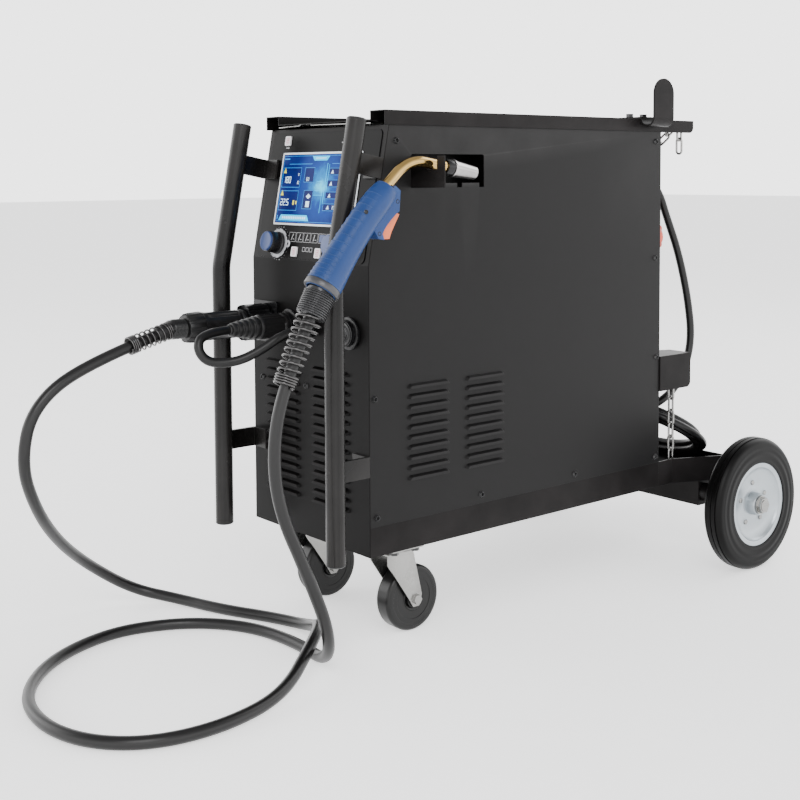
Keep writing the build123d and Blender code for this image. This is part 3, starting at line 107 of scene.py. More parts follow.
def surface(name, colour, rough, metal=0.0, grain=900.0, bump=0.12, depth=0.0003, mottle=0.1,
            spread=0.07, edge=0.0006, worn=None, rings=None, stripes=None, glow=0.0, shine=0.5):
    """Procedural finish: mottled colour, uneven gloss, fine texture, soft edges and optional wear.

    spread is how far the roughness wanders and worn the colour of rubbed edges. rings is
    (x, y, z, pitch, strength) for circular ridges about an X axis; stripes is (axis index, pitch,
    strength) for straight ridges.
    """
    material = bpy.data.materials.new(name)
    material.use_nodes = True
    tree = material.node_tree
    link = tree.links.new
    shader = tree.nodes["Principled BSDF"]
    place = node(tree, "ShaderNodeTexCoord").outputs["Object"]
    broad = node(tree, "ShaderNodeTexNoise", Scale=14.0, Detail=5.0, Roughness=0.6)
    fine = node(tree, "ShaderNodeTexNoise", Scale=grain, Detail=3.0, Roughness=0.55)
    link(place, broad.inputs["Vector"])
    link(place, fine.inputs["Vector"])
    ramp = node(tree, "ShaderNodeValToRGB")
    low = [max(0.0, c * (1 - mottle)) for c in colour]
    high = [min(1.0, c * (1 + mottle)) for c in colour]
    ramp.color_ramp.elements[0].position = 0.3
    ramp.color_ramp.elements[1].position = 0.7
    ramp.color_ramp.elements[0].color = (*low, 1)
    ramp.color_ramp.elements[1].color = (*high, 1)
    link(broad.outputs["Fac"], ramp.inputs["Fac"])
    tint = ramp.outputs["Color"]
    if worn:
        shape = node(tree, "ShaderNodeNewGeometry")
        sharp = node(tree, "ShaderNodeMapRange")
        sharp.inputs["From Min"].default_value = 0.53
        sharp.inputs["From Max"].default_value = 0.62
        link(shape.outputs["Pointiness"], sharp.inputs["Value"])
        patch = node(tree, "ShaderNodeMath", operation="MULTIPLY")
        link(sharp.outputs["Result"], patch.inputs[0])
        link(broad.outputs["Fac"], patch.inputs[1])
        mix = node(tree, "ShaderNodeMix", data_type="RGBA")
        link(patch.outputs["Value"], mix.inputs["Factor"])
        link(tint, mix.inputs["A"])
        mix.inputs["B"].default_value = (*worn, 1)
        tint = mix.outputs["Result"]
    link(tint, shader.inputs["Base Color"])
    gloss = node(tree, "ShaderNodeMapRange")
    gloss.inputs["To Min"].default_value = max(0.02, rough - spread)
    gloss.inputs["To Max"].default_value = min(1.0, rough + spread)
    link(broad.outputs["Fac"], gloss.inputs["Value"])
    link(gloss.outputs["Result"], shader.inputs["Roughness"])
    shader.inputs["Metallic"].default_value = metal
    shader.inputs["Specular IOR Level"].default_value = shine
    if glow:
        link(tint, shader.inputs["Emission Color"])
        shader.inputs["Emission Strength"].default_value = glow
    height = fine.outputs["Fac"]
    if rings or stripes:
        if rings:
            *centre, pitch, strength = rings
            offset = node(tree, "ShaderNodeVectorMath", operation="SUBTRACT")
            link(place, offset.inputs[0])
            offset.inputs[1].default_value = centre
            flat = node(tree, "ShaderNodeVectorMath", operation="MULTIPLY")
            link(offset.outputs["Vector"], flat.inputs[0])
            flat.inputs[1].default_value = (0, 1, 1)
            reach = node(tree, "ShaderNodeVectorMath", operation="LENGTH")
            link(flat.outputs["Vector"], reach.inputs[0])
            source = reach.outputs["Value"]
        else:
            axis, pitch, strength = stripes
            parts = node(tree, "ShaderNodeSeparateXYZ")
            link(place, parts.inputs["Vector"])
            source = parts.outputs[axis]
        scaled = node(tree, "ShaderNodeMath", operation="MULTIPLY")
        link(source, scaled.inputs[0])
        scaled.inputs[1].default_value = 2 * math.pi / pitch
        wave = node(tree, "ShaderNodeMath", operation="SINE")
        link(scaled.outputs["Value"], wave.inputs[0])
        both = node(tree, "ShaderNodeMath", operation="MULTIPLY_ADD")
        link(wave.outputs["Value"], both.inputs[0])
        both.inputs[1].default_value = strength
        link(height, both.inputs[2])
        height = both.outputs["Value"]
    relief = node(tree, "ShaderNodeBump", Strength=bump, Distance=depth)
    link(height, relief.inputs["Height"])
    if edge:
        soft = node(tree, "ShaderNodeBevel", Radius=edge, samples=4)
        link(soft.outputs["Normal"], relief.inputs["Normal"])
    link(relief.outputs["Normal"], shader.inputs["Normal"])
    return material


WHEEL_CENTRE = (WHEEL_X * MM, AXLE_Y * MM, WHEEL_RADIUS * MM)
BLACK_COAT = surface("black_powder_coat", (0.0024, 0.0021, 0.0021), 0.36, worn=(0.02, 0.018, 0.018),
                     shine=0.075)
# Side panels, door and hinges: the same black powder coat as the front, its colour and its rubbed-edge
# colour lifted to about twice the front coat's as painted reflection of the pale surroundings.
SIDE_COAT_PAINTED_REFLECTION = surface("side_coat_painted_reflection", (0.0052, 0.0049, 0.005), 0.42, worn=(0.03, 0.029, 0.029), shine=0.15)
TUBE_COAT = surface("handle_coat", (0.0022, 0.002, 0.0019), 0.26, worn=(0.03, 0.028, 0.027), shine=0.2)
TYRE = surface("tyre_rubber", (0.0013, 0.0012, 0.0012), 0.38, grain=600, bump=0.25, mottle=0.25, shine=0.12,
               rings=(*WHEEL_CENTRE, 0.0105, 2.2))
CASTER_RUBBER = surface("caster_rubber", (0.004, 0.0039, 0.0038), 0.3, grain=700, mottle=0.2, shine=0.3)
RIM_PAINT = surface("rim_silver", (0.4, 0.435, 0.46), 0.32, metal=0.75, grain=350, bump=0.1, mottle=0.12,
                    rings=(*WHEEL_CENTRE, 0.019, 1.0))
ZINC = surface("zinc_plate", (0.3, 0.297, 0.288), 0.25, metal=0.95, grain=260, bump=0.12, mottle=0.22,
               spread=0.14)
BOLT_BLACK = surface("bolt_black", (0.012, 0.012, 0.0125), 0.28, grain=500)
PLASTIC = surface("black_plastic", (0.006, 0.0058, 0.006), 0.36, grain=1500, bump=0.22, mottle=0.12,
                  shine=0.3)
GLOSS_BLACK = surface("gloss_black", (0.004, 0.004, 0.0044), 0.2, grain=900, bump=0.04, shine=0.35)
FILM = surface("panel_film", (0.0022, 0.002, 0.002), 0.3, grain=1400, bump=0.12, mottle=0.1, shine=0.06)
BLUE_GRIP = surface("torch_blue", (0.0085, 0.034, 0.13), 0.36, grain=1300, bump=0.16, mottle=0.1,
                    worn=(0.03, 0.075, 0.2), shine=0.3)
CAP_BLUE = surface("cap_blue", (0.015, 0.037, 0.13), 0.35, grain=900, bump=0.06)
ORANGE = surface("trigger_orange", (0.62, 0.13, 0.04), 0.38, grain=900, bump=0.1)
RING_GREY = surface("ring_grey", (0.055, 0.055, 0.06), 0.32, metal=0.4, grain=900, bump=0.1)
BOOT_GREY = surface("boot_steel", (0.05, 0.05, 0.052), 0.22, metal=0.6, grain=700)
BRASS = surface("brass_neck", (0.5, 0.33, 0.115), 0.14, metal=1.0, grain=220, bump=0.05, mottle=0.15)
CHROME = surface("nozzle_chrome", (0.36, 0.345, 0.34), 0.13, metal=1.0, grain=300, bump=0.05, mottle=0.25,
                 stripes=(1, 0.0011, 0.25))
SPRING = surface("spring_steel", (0.075, 0.073, 0.073), 0.16, metal=0.95, grain=500)
HOSE = surface("hose_rubber", (0.0045, 0.0042, 0.0042), 0.33, grain=420, bump=0.2, mottle=0.2, shine=0.35)
LEAD = surface("lead_rubber", (0.0036, 0.0035, 0.0035), 0.34, grain=500, bump=0.2, mottle=0.2, shine=0.3)
WHITE = surface("button_white", (0.62, 0.6, 0.61), 0.3, grain=700, bump=0.05)
PINK = surface("symbol_pink", (0.5, 0.09, 0.16), 0.4, grain=700, bump=0.05)
SCALE = surface("scale_silver", (0.5, 0.51, 0.53), 0.3, metal=0.5, grain=500)
RED = surface("switch_red", (0.55, 0.05, 0.015), 0.3, grain=700, bump=0.06)
SPOOL = surface("spool_black", (0.014, 0.014, 0.015), 0.36, grain=900)
WIRE = surface("wound_wire", (0.55, 0.26, 0.12), 0.3, metal=0.95, grain=300, stripes=(0, 0.0012, 2.5))
ALU = surface("machined_aluminium", (0.5, 0.5, 0.51), 0.32, metal=0.95, grain=260, stripes=(1, 0.0016, 0.4))
PRINT = surface("printed_white", (0.34, 0.34, 0.35), 0.45, grain=900, bump=0.04, edge=0)
SCREEN_RIM = surface("screen_rim", (0.6, 0.62, 0.64), 0.3, grain=900, bump=0.03)


def ui_paint(name, colour, glow, mottle=0.1):
    """Flat lit paint of the screen's own marks."""
    return surface(name, colour, 0.2, grain=60, bump=0, edge=0, glow=glow, mottle=mottle, shine=0.05)


UI_DARK = ui_paint("ui_dark", (0.003, 0.008, 0.07), 0.5, mottle=0.3)
UI_LINE = ui_paint("ui_line", (0.02, 0.2, 0.55), 0.6)
UI_CYAN = ui_paint("ui_cyan", (0.0, 0.42, 0.75), 0.7, mottle=0.35)
UI_WHITE = ui_paint("ui_white", (0.5, 0.68, 0.85), 0.7)
UI_YELLOW = ui_paint("ui_yellow", (0.5, 0.5, 0.05), 0.6)


def lit_screen():
    """Deep blue picture that brightens to cyan round one spot, its edge stirred by noise."""
    material = bpy.data.materials.new("screen_blue")
    material.use_nodes = True
    tree = material.node_tree
    link = tree.links.new
    shader = tree.nodes["Principled BSDF"]
    place = node(tree, "ShaderNodeTexCoord").outputs["Object"]
    centre = PANEL_UP * (112 * MM) + Vector((8 * MM, FRONT * MM, BEND_Z * MM))
    offset = node(tree, "ShaderNodeVectorMath", operation="SUBTRACT")
    link(place, offset.inputs[0])
    offset.inputs[1].default_value = centre
    reach = node(tree, "ShaderNodeVectorMath", operation="LENGTH")
    link(offset.outputs["Vector"], reach.inputs[0])
    clouds = node(tree, "ShaderNodeTexNoise", Scale=38.0, Detail=6.0, Roughness=0.65)
    link(place, clouds.inputs["Vector"])
    stirred = node(tree, "ShaderNodeMath", operation="MULTIPLY_ADD")
    link(clouds.outputs["Fac"], stirred.inputs[0])
    stirred.inputs[1].default_value = 0.055
    link(reach.outputs["Value"], stirred.inputs[2])
    ramp = node(tree, "ShaderNodeValToRGB")
    stops = ((0.03, (0.05, 0.5, 0.7, 1)), (0.042, (0.0, 0.17, 0.42, 1)), (0.06, (0.002, 0.035, 0.2, 1)),
             (0.1, (0.001, 0.009, 0.085, 1)))
    while len(ramp.color_ramp.elements) < len(stops):
        ramp.color_ramp.elements.new(0.5)
    for element, (spot, colour) in zip(ramp.color_ramp.elements, stops):
        element.position = spot
        element.color = colour
    link(stirred.outputs["Value"], ramp.inputs["Fac"])
    link(ramp.outputs["Color"], shader.inputs["Base Color"])
    link(ramp.outputs["Color"], shader.inputs["Emission Color"])
    shader.inputs["Emission Strength"].default_value = 0.6
    shader.inputs["Roughness"].default_value = 0.22
    shader.inputs["Specular IOR Level"].default_value = 0.05
    return material


SCREEN = lit_screen()

NODE_FINISH = {
    BLACK_COAT: "base_tray cylinder_shelf front_panel rear_panel top_lid torch_holder hose_hanger "
                "cylinder_brackets",
    SIDE_COAT_PAINTED_REFLECTION: "right_side_panel left_side_panel left_door door_hinges",
    TUBE_COAT: "handle_right handle_left",
    TYRE: "rear_tyre_right rear_tyre_left",
    RIM_PAINT: "rear_rim_right rear_rim_left",
    CASTER_RUBBER: "caster_wheel_right caster_wheel_left",
    ZINC: "rear_axle caster_plates caster_fork_right caster_fork_left cylinder_chains divider_wall "
          "drive_roll",
    BOLT_BLACK: "fasteners",
    FILM: "control_fascia",
    SCREEN: "display_glass",
    WHITE: "button_power button_left button_right",
    GLOSS_BLACK: "torch_socket torch_plug_nut output_sockets door_latch",
    PLASTIC: "mains_gland mains_plug fan_rotor",
    BLUE_GRIP: "torch_shell_right torch_shell_left",
    ORANGE: "torch_trigger",
    BRASS: "torch_neck",
    CHROME: "torch_nozzle",
    RED: "mains_switch",
    SPOOL: "wire_spool",
    ALU: "wire_feeder power_module",
}
for finish, names in NODE_FINISH.items():
    for name in names.split():
        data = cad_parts[name].data
        data.materials.clear()
        data.materials.append(finish)


# ---- mesh helpers --------------------------------------------------------
def point(x, y, z):
    """Millimetres to metres."""
    return Vector((x, y, z)) * MM


def link_mesh(name, mesh, materials, body="cart", smooth=40):
    """A mesh piece riding on a body, smooth except across sharp edges."""
    piece = bpy.data.objects.new(name, mesh)
    bpy.context.scene.collection.objects.link(piece)
    for material in materials:
        mesh.materials.append(material)
    if smooth:
        mesh.shade_smooth()
        mesh.set_sharp_from_angle(angle=math.radians(smooth))
    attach(piece, body)
    return piece


def pose(origin, axis, lateral=(1, 0, 0)):
    """Matrix whose Z runs along axis from origin, both in millimetres."""
    z = Vector(axis).normalized()
    x = Vector(lateral)
    x = (x - z * x.dot(z)).normalized()
    turn = Matrix((x, z.cross(x), z)).transposed().to_4x4()
    return Matrix.Translation(point(*origin)) @ turn


def lathe(name, place, profile, material, body="cart", steps=64, ripple=None, smooth=35, hollow=False):
    """Profile points (along, radius) turned about the Z axis of place.

    A hollow profile closes on itself as a ring; any other is capped at both ends.
    ripple(along, angle) gives a factor on the radius.
    """
    build = bmesh.new()
    rings = []
    for along, radius in profile:
        ring = []
        for step in range(steps):
            angle = 2 * math.pi * step / steps
            reach = radius * (ripple(along, angle) if ripple else 1)
            ring.append(build.verts.new(
                place @ point(reach * math.cos(angle), reach * math.sin(angle), along)))
        rings.append(ring)
    pairs = list(zip(rings, rings[1:]))
    if hollow:
        pairs.append((rings[-1], rings[0]))
    else:
        build.faces.new(reversed(rings[0]))
        build.faces.new(rings[-1])
    for low, high in pairs:
        for step in range(steps):
            after = (step + 1) % steps
            build.faces.new((low[step], low[after], high[after], high[step]))
    bmesh.ops.recalc_face_normals(build, faces=build.faces)
    mesh = bpy.data.meshes.new(name)
    build.to_mesh(mesh)
    build.free()
    return link_mesh(name, mesh, [material], body, smooth)


def bent_wires(name, paths, radius, material, sides=4, caps=False):
    """Wires through lists of points in metres, all in one piece."""
    curve = bpy.data.curves.new(name, "CURVE")
    curve.dimensions = "3D"
    curve.bevel_depth = radius * MM
    curve.bevel_resolution = sides
    curve.use_fill_caps = caps
    for path in paths:
        spline = curve.splines.new("POLY")
        spline.points.add(len(path) - 1)
        for at, target in zip(spline.points, path):
            at.co = (*target, 1)
    curve.materials.append(material)
    piece = bpy.data.objects.new(name, curve)
    bpy.context.scene.collection.objects.link(piece)
    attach(piece, "cart")
    return piece


def helix(name, place, radius, wire, heights, material, turn_steps=40, tip_radius=None):
    """Wire spring: heights lists the distance along the axis at the end of each turn.

    It narrows evenly to tip_radius, where one is given.
    """
    tip = radius if tip_radius is None else tip_radius
    path = []
    for index in range(len(heights) - 1):
        for step in range(turn_steps):
            share = step / turn_steps
            along = heights[index] + (heights[index + 1] - heights[index]) * share
            angle = 2 * math.pi * share
            reach = radius + (tip - radius) * (index + share) / (len(heights) - 1)
            path.append(place @ point(reach * math.cos(angle), reach * math.sin(angle), along))
    return bent_wires(name, [path], wire, material, caps=True)


def turn_heights(start, *runs):
    """Heights of a spring's turns: each run is (number of turns, pitch)."""
    heights = [start]
    for count, pitch in runs:
        for _ in range(count):
            heights.append(heights[-1] + pitch)
    return heights


def cord_curve(name, route, radius, material):
    """Smooth cord whose control points are the route in millimetres."""
    curve = bpy.data.curves.new(name, "CURVE")
    curve.dimensions = "3D"
    curve.bevel_depth = radius * MM
    curve.bevel_resolution = 7
    curve.resolution_u = 16
    curve.use_fill_caps = True
    spline = curve.splines.new("NURBS")
    spline.points.add(len(route) - 1)
    for at, target in zip(spline.points, route):
        at.co = (*point(*target), 1)
    spline.order_u = 3
    spline.use_endpoint_u = True
    curve.materials.append(material)
    piece = bpy.data.objects.new(name, curve)
    bpy.context.scene.collection.objects.link(piece)
    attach(piece, "cart")
    return piece


def plates(name, place, shapes, materials, body="cart", thick=0.12):
    """Thin printed shapes on a plane: each is (outline, height, material index) in millimetres."""
    build = bmesh.new()
    for outline, height, slot in shapes:
        low = [build.verts.new(place @ point(x, y, height - thick)) for x, y in outline]
        high = [build.verts.new(place @ point(x, y, height)) for x, y in outline]
        faces = [build.faces.new(high)]
        for index in range(len(outline)):
            after = (index + 1) % len(outline)
            faces.append(build.faces.new((low[index], low[after], high[after], high[index])))
        for face in faces:
            face.material_index = slot
    bmesh.ops.recalc_face_normals(build, faces=build.faces)
    mesh = bpy.data.meshes.new(name)
    build.to_mesh(mesh)
    build.free()
    return link_mesh(name, mesh, materials, body, smooth=0)


def rectangle(x, y, width, height):
    """Outline of a rectangle about its centre."""
    w, h = width / 2, height / 2
    return [(x - w, y - h), (x + w, y - h), (x + w, y + h), (x - w, y + h)]


def rounded(x, y, width, height, radius, steps=5):
    """Outline of a rectangle with round corners."""
    outline = []
    for corner, (sx, sy) in enumerate(((1, 1), (-1, 1), (-1, -1), (1, -1))):
        cx = x + sx * (width / 2 - radius)
        cy = y + sy * (height / 2 - radius)
        for step in range(steps + 1):
            angle = math.pi / 2 * (corner + step / steps)
            outline.append((cx + radius * math.cos(angle), cy + radius * math.sin(angle)))
    return outline


def disc(x, y, radius, steps=24):
    """Outline of a circle."""
    return [(x + radius * math.cos(2 * math.pi * i / steps), y + radius * math.sin(2 * math.pi * i / steps))
            for i in range(steps)]


def frame_lines(x, y, width, height, line):
    """Four bars round a rectangle."""
    return [
        rectangle(x, y + height / 2, width, line), rectangle(x, y - height / 2, width, line),
        rectangle(x - width / 2, y, line, height), rectangle(x + width / 2, y, line, height),
    ]


SEGMENTS = {
    "0": "abcdef", "1": "bc", "2": "abged", "3": "abgcd", "4": "fgbc", "5": "afgcd",
    "6": "afgedc", "7": "abc", "8": "abcdefg", "9": "abfgcd",
}


def digits(text, x, y, height):
    """Seven-segment outlines of a reading, starting at its left edge."""
    wide = height * 0.5
    bar = height * 0.13
    spots = {
        "a": (wide / 2, height, wide, bar), "g": (wide / 2, height / 2, wide, bar),
        "d": (wide / 2, 0, wide, bar), "f": (0, height * 0.75, bar, height / 2),
        "b": (wide, height * 0.75, bar, height / 2), "e": (0, height * 0.25, bar, height / 2),
        "c": (wide, height * 0.25, bar, height / 2),
    }
    shapes = []
    for sign in text:
        if sign == ".":
            shapes.append(rectangle(x, y, bar * 1.2, bar * 1.2))
            x += wide * 0.4
            continue
        for segment in SEGMENTS[sign]:
            sx, sy, width, tall = spots[segment]
            shapes.append(rectangle(x + sx, y + sy, width, tall))
        x += wide * 1.55
    return shapes


# ---- cords ---------------------------------------------------------------
HOSE_PATH = [
    (190, -133, 497.5), (190, -176.6, 408.4), (190, -194, 330), (191, -186, 250),
    (195, -146, 160), (205, -116, 75), (160, -86, 12), (75, -72, 9), (-10, -80, 9),
    (-75, -113, 9), (-125, -173, 9), (-148, -263, 9), (-105, -373, 9), (-18, -450, 9),
    (80, -473, 9), (165, -453, 9), (222, -393, 9), (236, -298, 9), (215, -198, 14),
    (168, -122, 44), (104, -58, 44), (35, -23, 14), (-45, -38, 9), (-125, -78, 9),
    (-215, -106, 9), (-272, -158, 22), (-268, -238, 80), (-210, -313, 145),
    (-150, -371, 215), (-114, -406, 290), (-108, -390, 370), (-108, -307.2, 421.8),
    (-108, -179.73, 455.93),
]
hose = cord_curve("hose_line", [(x, FRONT + y, z) for x, y, z in HOSE_PATH], 8.5, HOSE)
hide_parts("torch_hose")

POLARITY_PATH = [
    (15, -24, 458), (14, -56, 452), (6, -87, 432), (-8, -120, 415.5), (-25, -158, 415),
    (-33, -173, 436), (-40, -160, 457.5), (-45, -112, 458),
]
polarity = cord_curve("polarity_line", [(x, FRONT + y, z) for x, y, z in POLARITY_PATH], 7, LEAD)
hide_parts("polarity_lead")

MAINS_PATH = [
    (50, 23, 690), (51, 55, 688), (53, 86, 675), (57, 110, 648), (62, 123, 608), (75, 143, 540),
    (86, 159, 450), (92, 163, 370), (92, 128, 300), (88, 76, 268),
]
TAIL_PATH = [
    (-105, 62, 246), (-136, 72, 240), (-156, 74, 204.5), (-136, 68, LYING_PLUG_Z),
    (-95, 57, LYING_PLUG_Z), (-62, 52, LYING_PLUG_Z),
]
COIL_Y = 106
COIL_Z = 216.4
COIL_TILT = math.radians(35)
COIL_HALF_WIDTH = 140
COIL_HALF_DEPTH = 84
COIL_START = 65
COIL_END = 1180
COIL_STEP = 30
SPLINE_CUT = 1.03
TURN_OFFSETS = [(-14, -5), (2, 7), (13, -5), (0.5, -8)]


def coil_points():
    """Control points of the coil's turns, each turn at its own size and height.

    SPLINE_CUT makes up for the spline's running inside its control points.
    """
    found = []
    for angle in range(COIL_START, COIL_END, COIL_STEP):
        turns = (angle - COIL_START) / 360
        low = min(int(turns), 2)
        share = turns - low
        share = share * share * (3 - 2 * share)
        reach, rise = (a * (1 - share) + b * share
                       for a, b in zip(TURN_OFFSETS[low], TURN_OFFSETS[low + 1]))
        reach += 1.6 * math.sin(math.radians(angle * 1.7))
        across = (COIL_HALF_WIDTH + reach) * math.cos(math.radians(angle)) * SPLINE_CUT
        up = (COIL_HALF_DEPTH + reach) * math.sin(math.radians(angle)) * SPLINE_CUT
        found.append((
            across,
            COIL_Y - up * math.cos(COIL_TILT) + rise * math.sin(COIL_TILT),
            COIL_Z + up * math.sin(COIL_TILT) + rise * math.cos(COIL_TILT)))
    return found


mains = cord_curve(
    "mains_line", [(x, REAR + y, z) for x, y, z in MAINS_PATH + coil_points() + TAIL_PATH], 7, LEAD)
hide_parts("mains_cable", "mains_coil", "mains_tail")


# ---- control panel -------------------------------------------------------
PANEL = Matrix((Vector((1, 0, 0)), PANEL_UP, PANEL_OUT)).transposed().to_4x4()
PANEL = Matrix.Translation(point(0, FRONT, BEND_Z)) @ PANEL
GLASS_TOP = FASCIA + 0.8


def screen_shapes():
    """The lit picture behind the glass: readings, boxes, a bright middle and a lower bar."""
    shapes = []
    top = GLASS_TOP

    def put(outlines, level, slot):
        shapes.extend((outline, top + level * 0.04, slot) for outline in outlines)

    wide, tall = 195, 106
    put([[(-22, 160), (22, 160), (16, 153), (-16, 153)]], 3, 3)
    put([rectangle(0, 156.8, 26, 1)], 4, 4)
    put([rectangle(19, 118, 1.2, 62), rectangle(24, 126, 0.9, 42), rectangle(14, 96, 0.9, 46)], 3.4, 3)
    put([rectangle(4, 100 + 7 * index, 22 - 3 * index, 0.7) for index in range(4)], 3.2, 3)
    for x, y, width, height in (
        (-70, 127, 49, 32), (-70, 91, 49, 32), (-24, 131, 26, 24), (-20, 93, 25, 30),
        (45, 136, 40, 12), (43, 118, 38, 12), (42, 100, 38, 12), (41, 82, 40, 12),
    ):
        put([rounded(x, y, width, height, 2.5)], 4, 2)
        put(frame_lines(x, y, width - 1.6, height - 1.6, 0.7), 5, 1)
    put(frame_lines(0, SCREEN_UP, wide - 4, tall - 4, 0.6), 5, 1)
    for x, y, text, height in (
        (-90, 119, "180", 9), (-90, 84, "22.5", 9), (-55, 117, "10", 4.5), (-55, 130, "12", 3.5),
        (-30, 122, "60", 5), (52, 133.5, "15", 4.5), (50, 115.5, "3.0", 4.5),
        (50, 97.5, "48", 4.5), (44, 79.5, "20.5", 4.5),
    ):
        put(digits(text, x, y, height), 6, 4)
    put([[(-93, 134), (-89, 142), (-85, 134)], [(-93, 99), (-89, 107), (-85, 99)]], 6, 5)
    put([rectangle(-56, 88, 4, 7), rectangle(-49, 88, 3, 5)], 6, 5)
    put([[(-25, 98), (-19, 102), (-13, 98), (-19, 94)], rectangle(-19, 86, 9, 9)], 6, 4)
    for index in range(4):
        put([[(30, 133 - 18 * index), (34, 139 - 18 * index), (37, 133 - 18 * index)]], 6, 4)
        put([rectangle(72, 134 - 18 * index, 14, 1.2), rectangle(74, 138 - 18 * index, 9, 1)], 6, 1)
    put([[(-90, 60), (-10, 60), (-16, 69), (-84, 69)]], 4, 3)
    for index in range(13):
        put([rectangle(-78 + index * 4.8, 64.5, 3.2, 3.6)], 6, 4)
    put([disc(80, 65, 4), rectangle(-93, 65, 2, 6), rectangle(-88, 156, 14, 2), rectangle(82, 156, 18, 2)],
        6, 1)
    put([disc(80, 65, 2.6)], 7, 0)
    put([rectangle(-50, 148, 60, 0.8), rectangle(55, 148, 50, 0.8)], 6, 1)
    return shapes


picture = plates(
    "screen_picture", PANEL, screen_shapes(), [SCREEN, UI_LINE, UI_DARK, UI_CYAN, UI_WHITE, UI_YELLOW],
    thick=0.03)


def rim_shapes():
    """Pale band round the screen, on the raised frame."""
    top = FASCIA + 1.15
    wide, tall, band = 202, 113, 3
    shapes = []
    for sign in (1, -1):
        shapes.append((rectangle(0, SCREEN_UP + sign * (tall - band) / 2, wide - 2, band), top, 0))
    for sign in (-1, 1):
        shapes.append((rectangle(sign * (wide - band) / 2, SCREEN_UP, band, tall - 2), top, 0))
    return shapes


plates("screen_band", PANEL, rim_shapes(), [SCREEN_RIM], thick=0.3)


def legend_shapes():
    """Generic printed marks: a row of mode symbols, small boxes, bars and the knobs' dots."""
    top = FASCIA + 0.08
    shapes = []
    for index in range(6):
        x = -46 + index * 19
        slot = 1 if index == 4 else 0
        shapes += [(outline, top, 0) for outline in frame_lines(x, 35, 17, 14, 0.5)]
        lean = 3 - index
        shapes.append((
            [(x - 3, 30), (x - 1.6, 30), (x + lean * 0.6 + 1, 40), (x + lean * 0.6 - 0.6, 40)],
            top, slot))
        shapes.append((rectangle(x + 3.4, 32, 4, 0.9), top, slot))
    shapes.append((rectangle(30, 35, 13, 11), top - 0.02, 1))
    for x in (-9, 0, 9):
        shapes += [(outline, top, 0) for outline in frame_lines(x - 3, 17, 6.5, 6, 0.7)]
    for side in (-1, 1):
        for index in range(21):
            angle = math.radians(-60 + index * 15)
            reach = 25.5 if index % 5 else 26.3
            x = side * KNOB_X + math.sin(angle) * reach
            y = KNOB_UP + math.cos(angle) * reach
            shapes.append((disc(x, y, 0.55 if index % 5 else 0.9, 10), top, 0))
    shapes.append((rectangle(-93.4, 174, 8, 1.6), top, 0))
    for index in range(3):
        shapes.append((rectangle(62, 180 + index * 4.5, 34 - index * 8, 1.4), top, 0))
    return shapes


plates("panel_legend", PANEL, legend_shapes(), [PRINT, CAP_BLUE], thick=0.05)

for word, x, y in (("power", -93.4, 184.8), ("left", -34.5, 12.6), ("right", 25.7, 12.6)):
    outlines = frame_lines(x, y + 1, 7, 7, 0.8)
    outlines += [rectangle(x, y + 1, 1, 5), rectangle(x, y + 1, 4.4, 0.9), rectangle(x, y - 4.6, 7, 0.8)]
    marks = [(outline, FASCIA + 2.05, 0) for outline in outlines]
    plates(f"button_{word}_mark", PANEL, marks, [PINK], body=f"button_{word}", thick=0.1)

for side, word in SIDES:
    dial = PANEL @ Matrix.Translation(point(side * KNOB_X, KNOB_UP, FASCIA))
    place = dial @ Matrix.Translation(point(0, 0, 1.5))
    grip = lathe(
        f"knob_{word}_grip", place,
        [(0, 10), (0, 17.4), (3.4, 17.6), (4.2, 16.6), (4.6, 16), (19.5, 15.6), (21.2, 14.8), (22, 14)],
        GLOSS_BLACK, f"knob_{word}", steps=144,
        ripple=lambda along, angle: 1 + (0.022 * math.cos(angle * 36) if 4.3 < along < 20 else 0))
    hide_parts(f"knob_{word}")
    lathe(f"knob_{word}_cap", place,
          [(20, 12), (21.4, 15.1), (23.4, 15.0), (24.6, 14.2), (24.9, 13), (24.7, 4), (24.7, 1)],
          CAP_BLUE, f"knob_{word}", steps=72)
    lathe(f"knob_{word}_scale", dial,
          [(0.9, 17), (0.9, 22.4), (1.3, 22.8), (2.2, 22.8), (2.5, 22.2), (1.45, 21.2), (1.3, 17)], SCALE,
          steps=144, hollow=True,
          ripple=lambda along, angle: 1 - (0.055 if math.cos(angle * 11) > 0.8 else 0))
    lathe(f"knob_{word}_lug", dial @ Matrix.Translation(point(25.5, 0, 0)),
          [(1.05, 2.2), (1.05, 5.6), (2.0, 5.6), (2.3, 5.1), (2.3, 2.7), (2.0, 2.2)], SCALE, steps=48,
          hollow=True)


# ---- torch ---------------------------------------------------------------
def torch_place(y, z, y_step, z_step):
    """Axis in the torch's own upright plane."""
    return pose((TORCH_X, FRONT + y, z), (0, y_step, z_step))


BOOT_TOP = (-109.5, 539)
BOOT_END = (-133, 497.5)
NECK_END = (110, 696.5)
ring_place = torch_place(*BOOT_TOP, -0.607, -0.794)
boot_place = torch_place(*BOOT_TOP, BOOT_END[0] - BOOT_TOP[0], BOOT_END[1] - BOOT_TOP[1])
spring_place = torch_place(*BOOT_END, -0.44, -0.898)
nozzle_place = torch_place(*NECK_END, 79, -13)
lathe(
    "torch_ring", ring_place,
    [(0.5, 19), (0.5, 25), (1.4, 25.6), (8.2, 25.6), (9.4, 25), (9.4, 22.6), (8.6, 22), (6, 21.4), (6, 19)],
    RING_GREY, steps=96, hollow=True)
lathe("torch_ring_liner", ring_place,
      [(5, 18.5), (5, 21.2), (9.3, 22.1), (9.9, 21.6), (9.9, 20.6), (6.4, 19.8), (6.4, 18.5)],
      BLUE_GRIP, steps=96, hollow=True)
ribs = [(7, 14), (8, 19.5), (12, 19.5)]
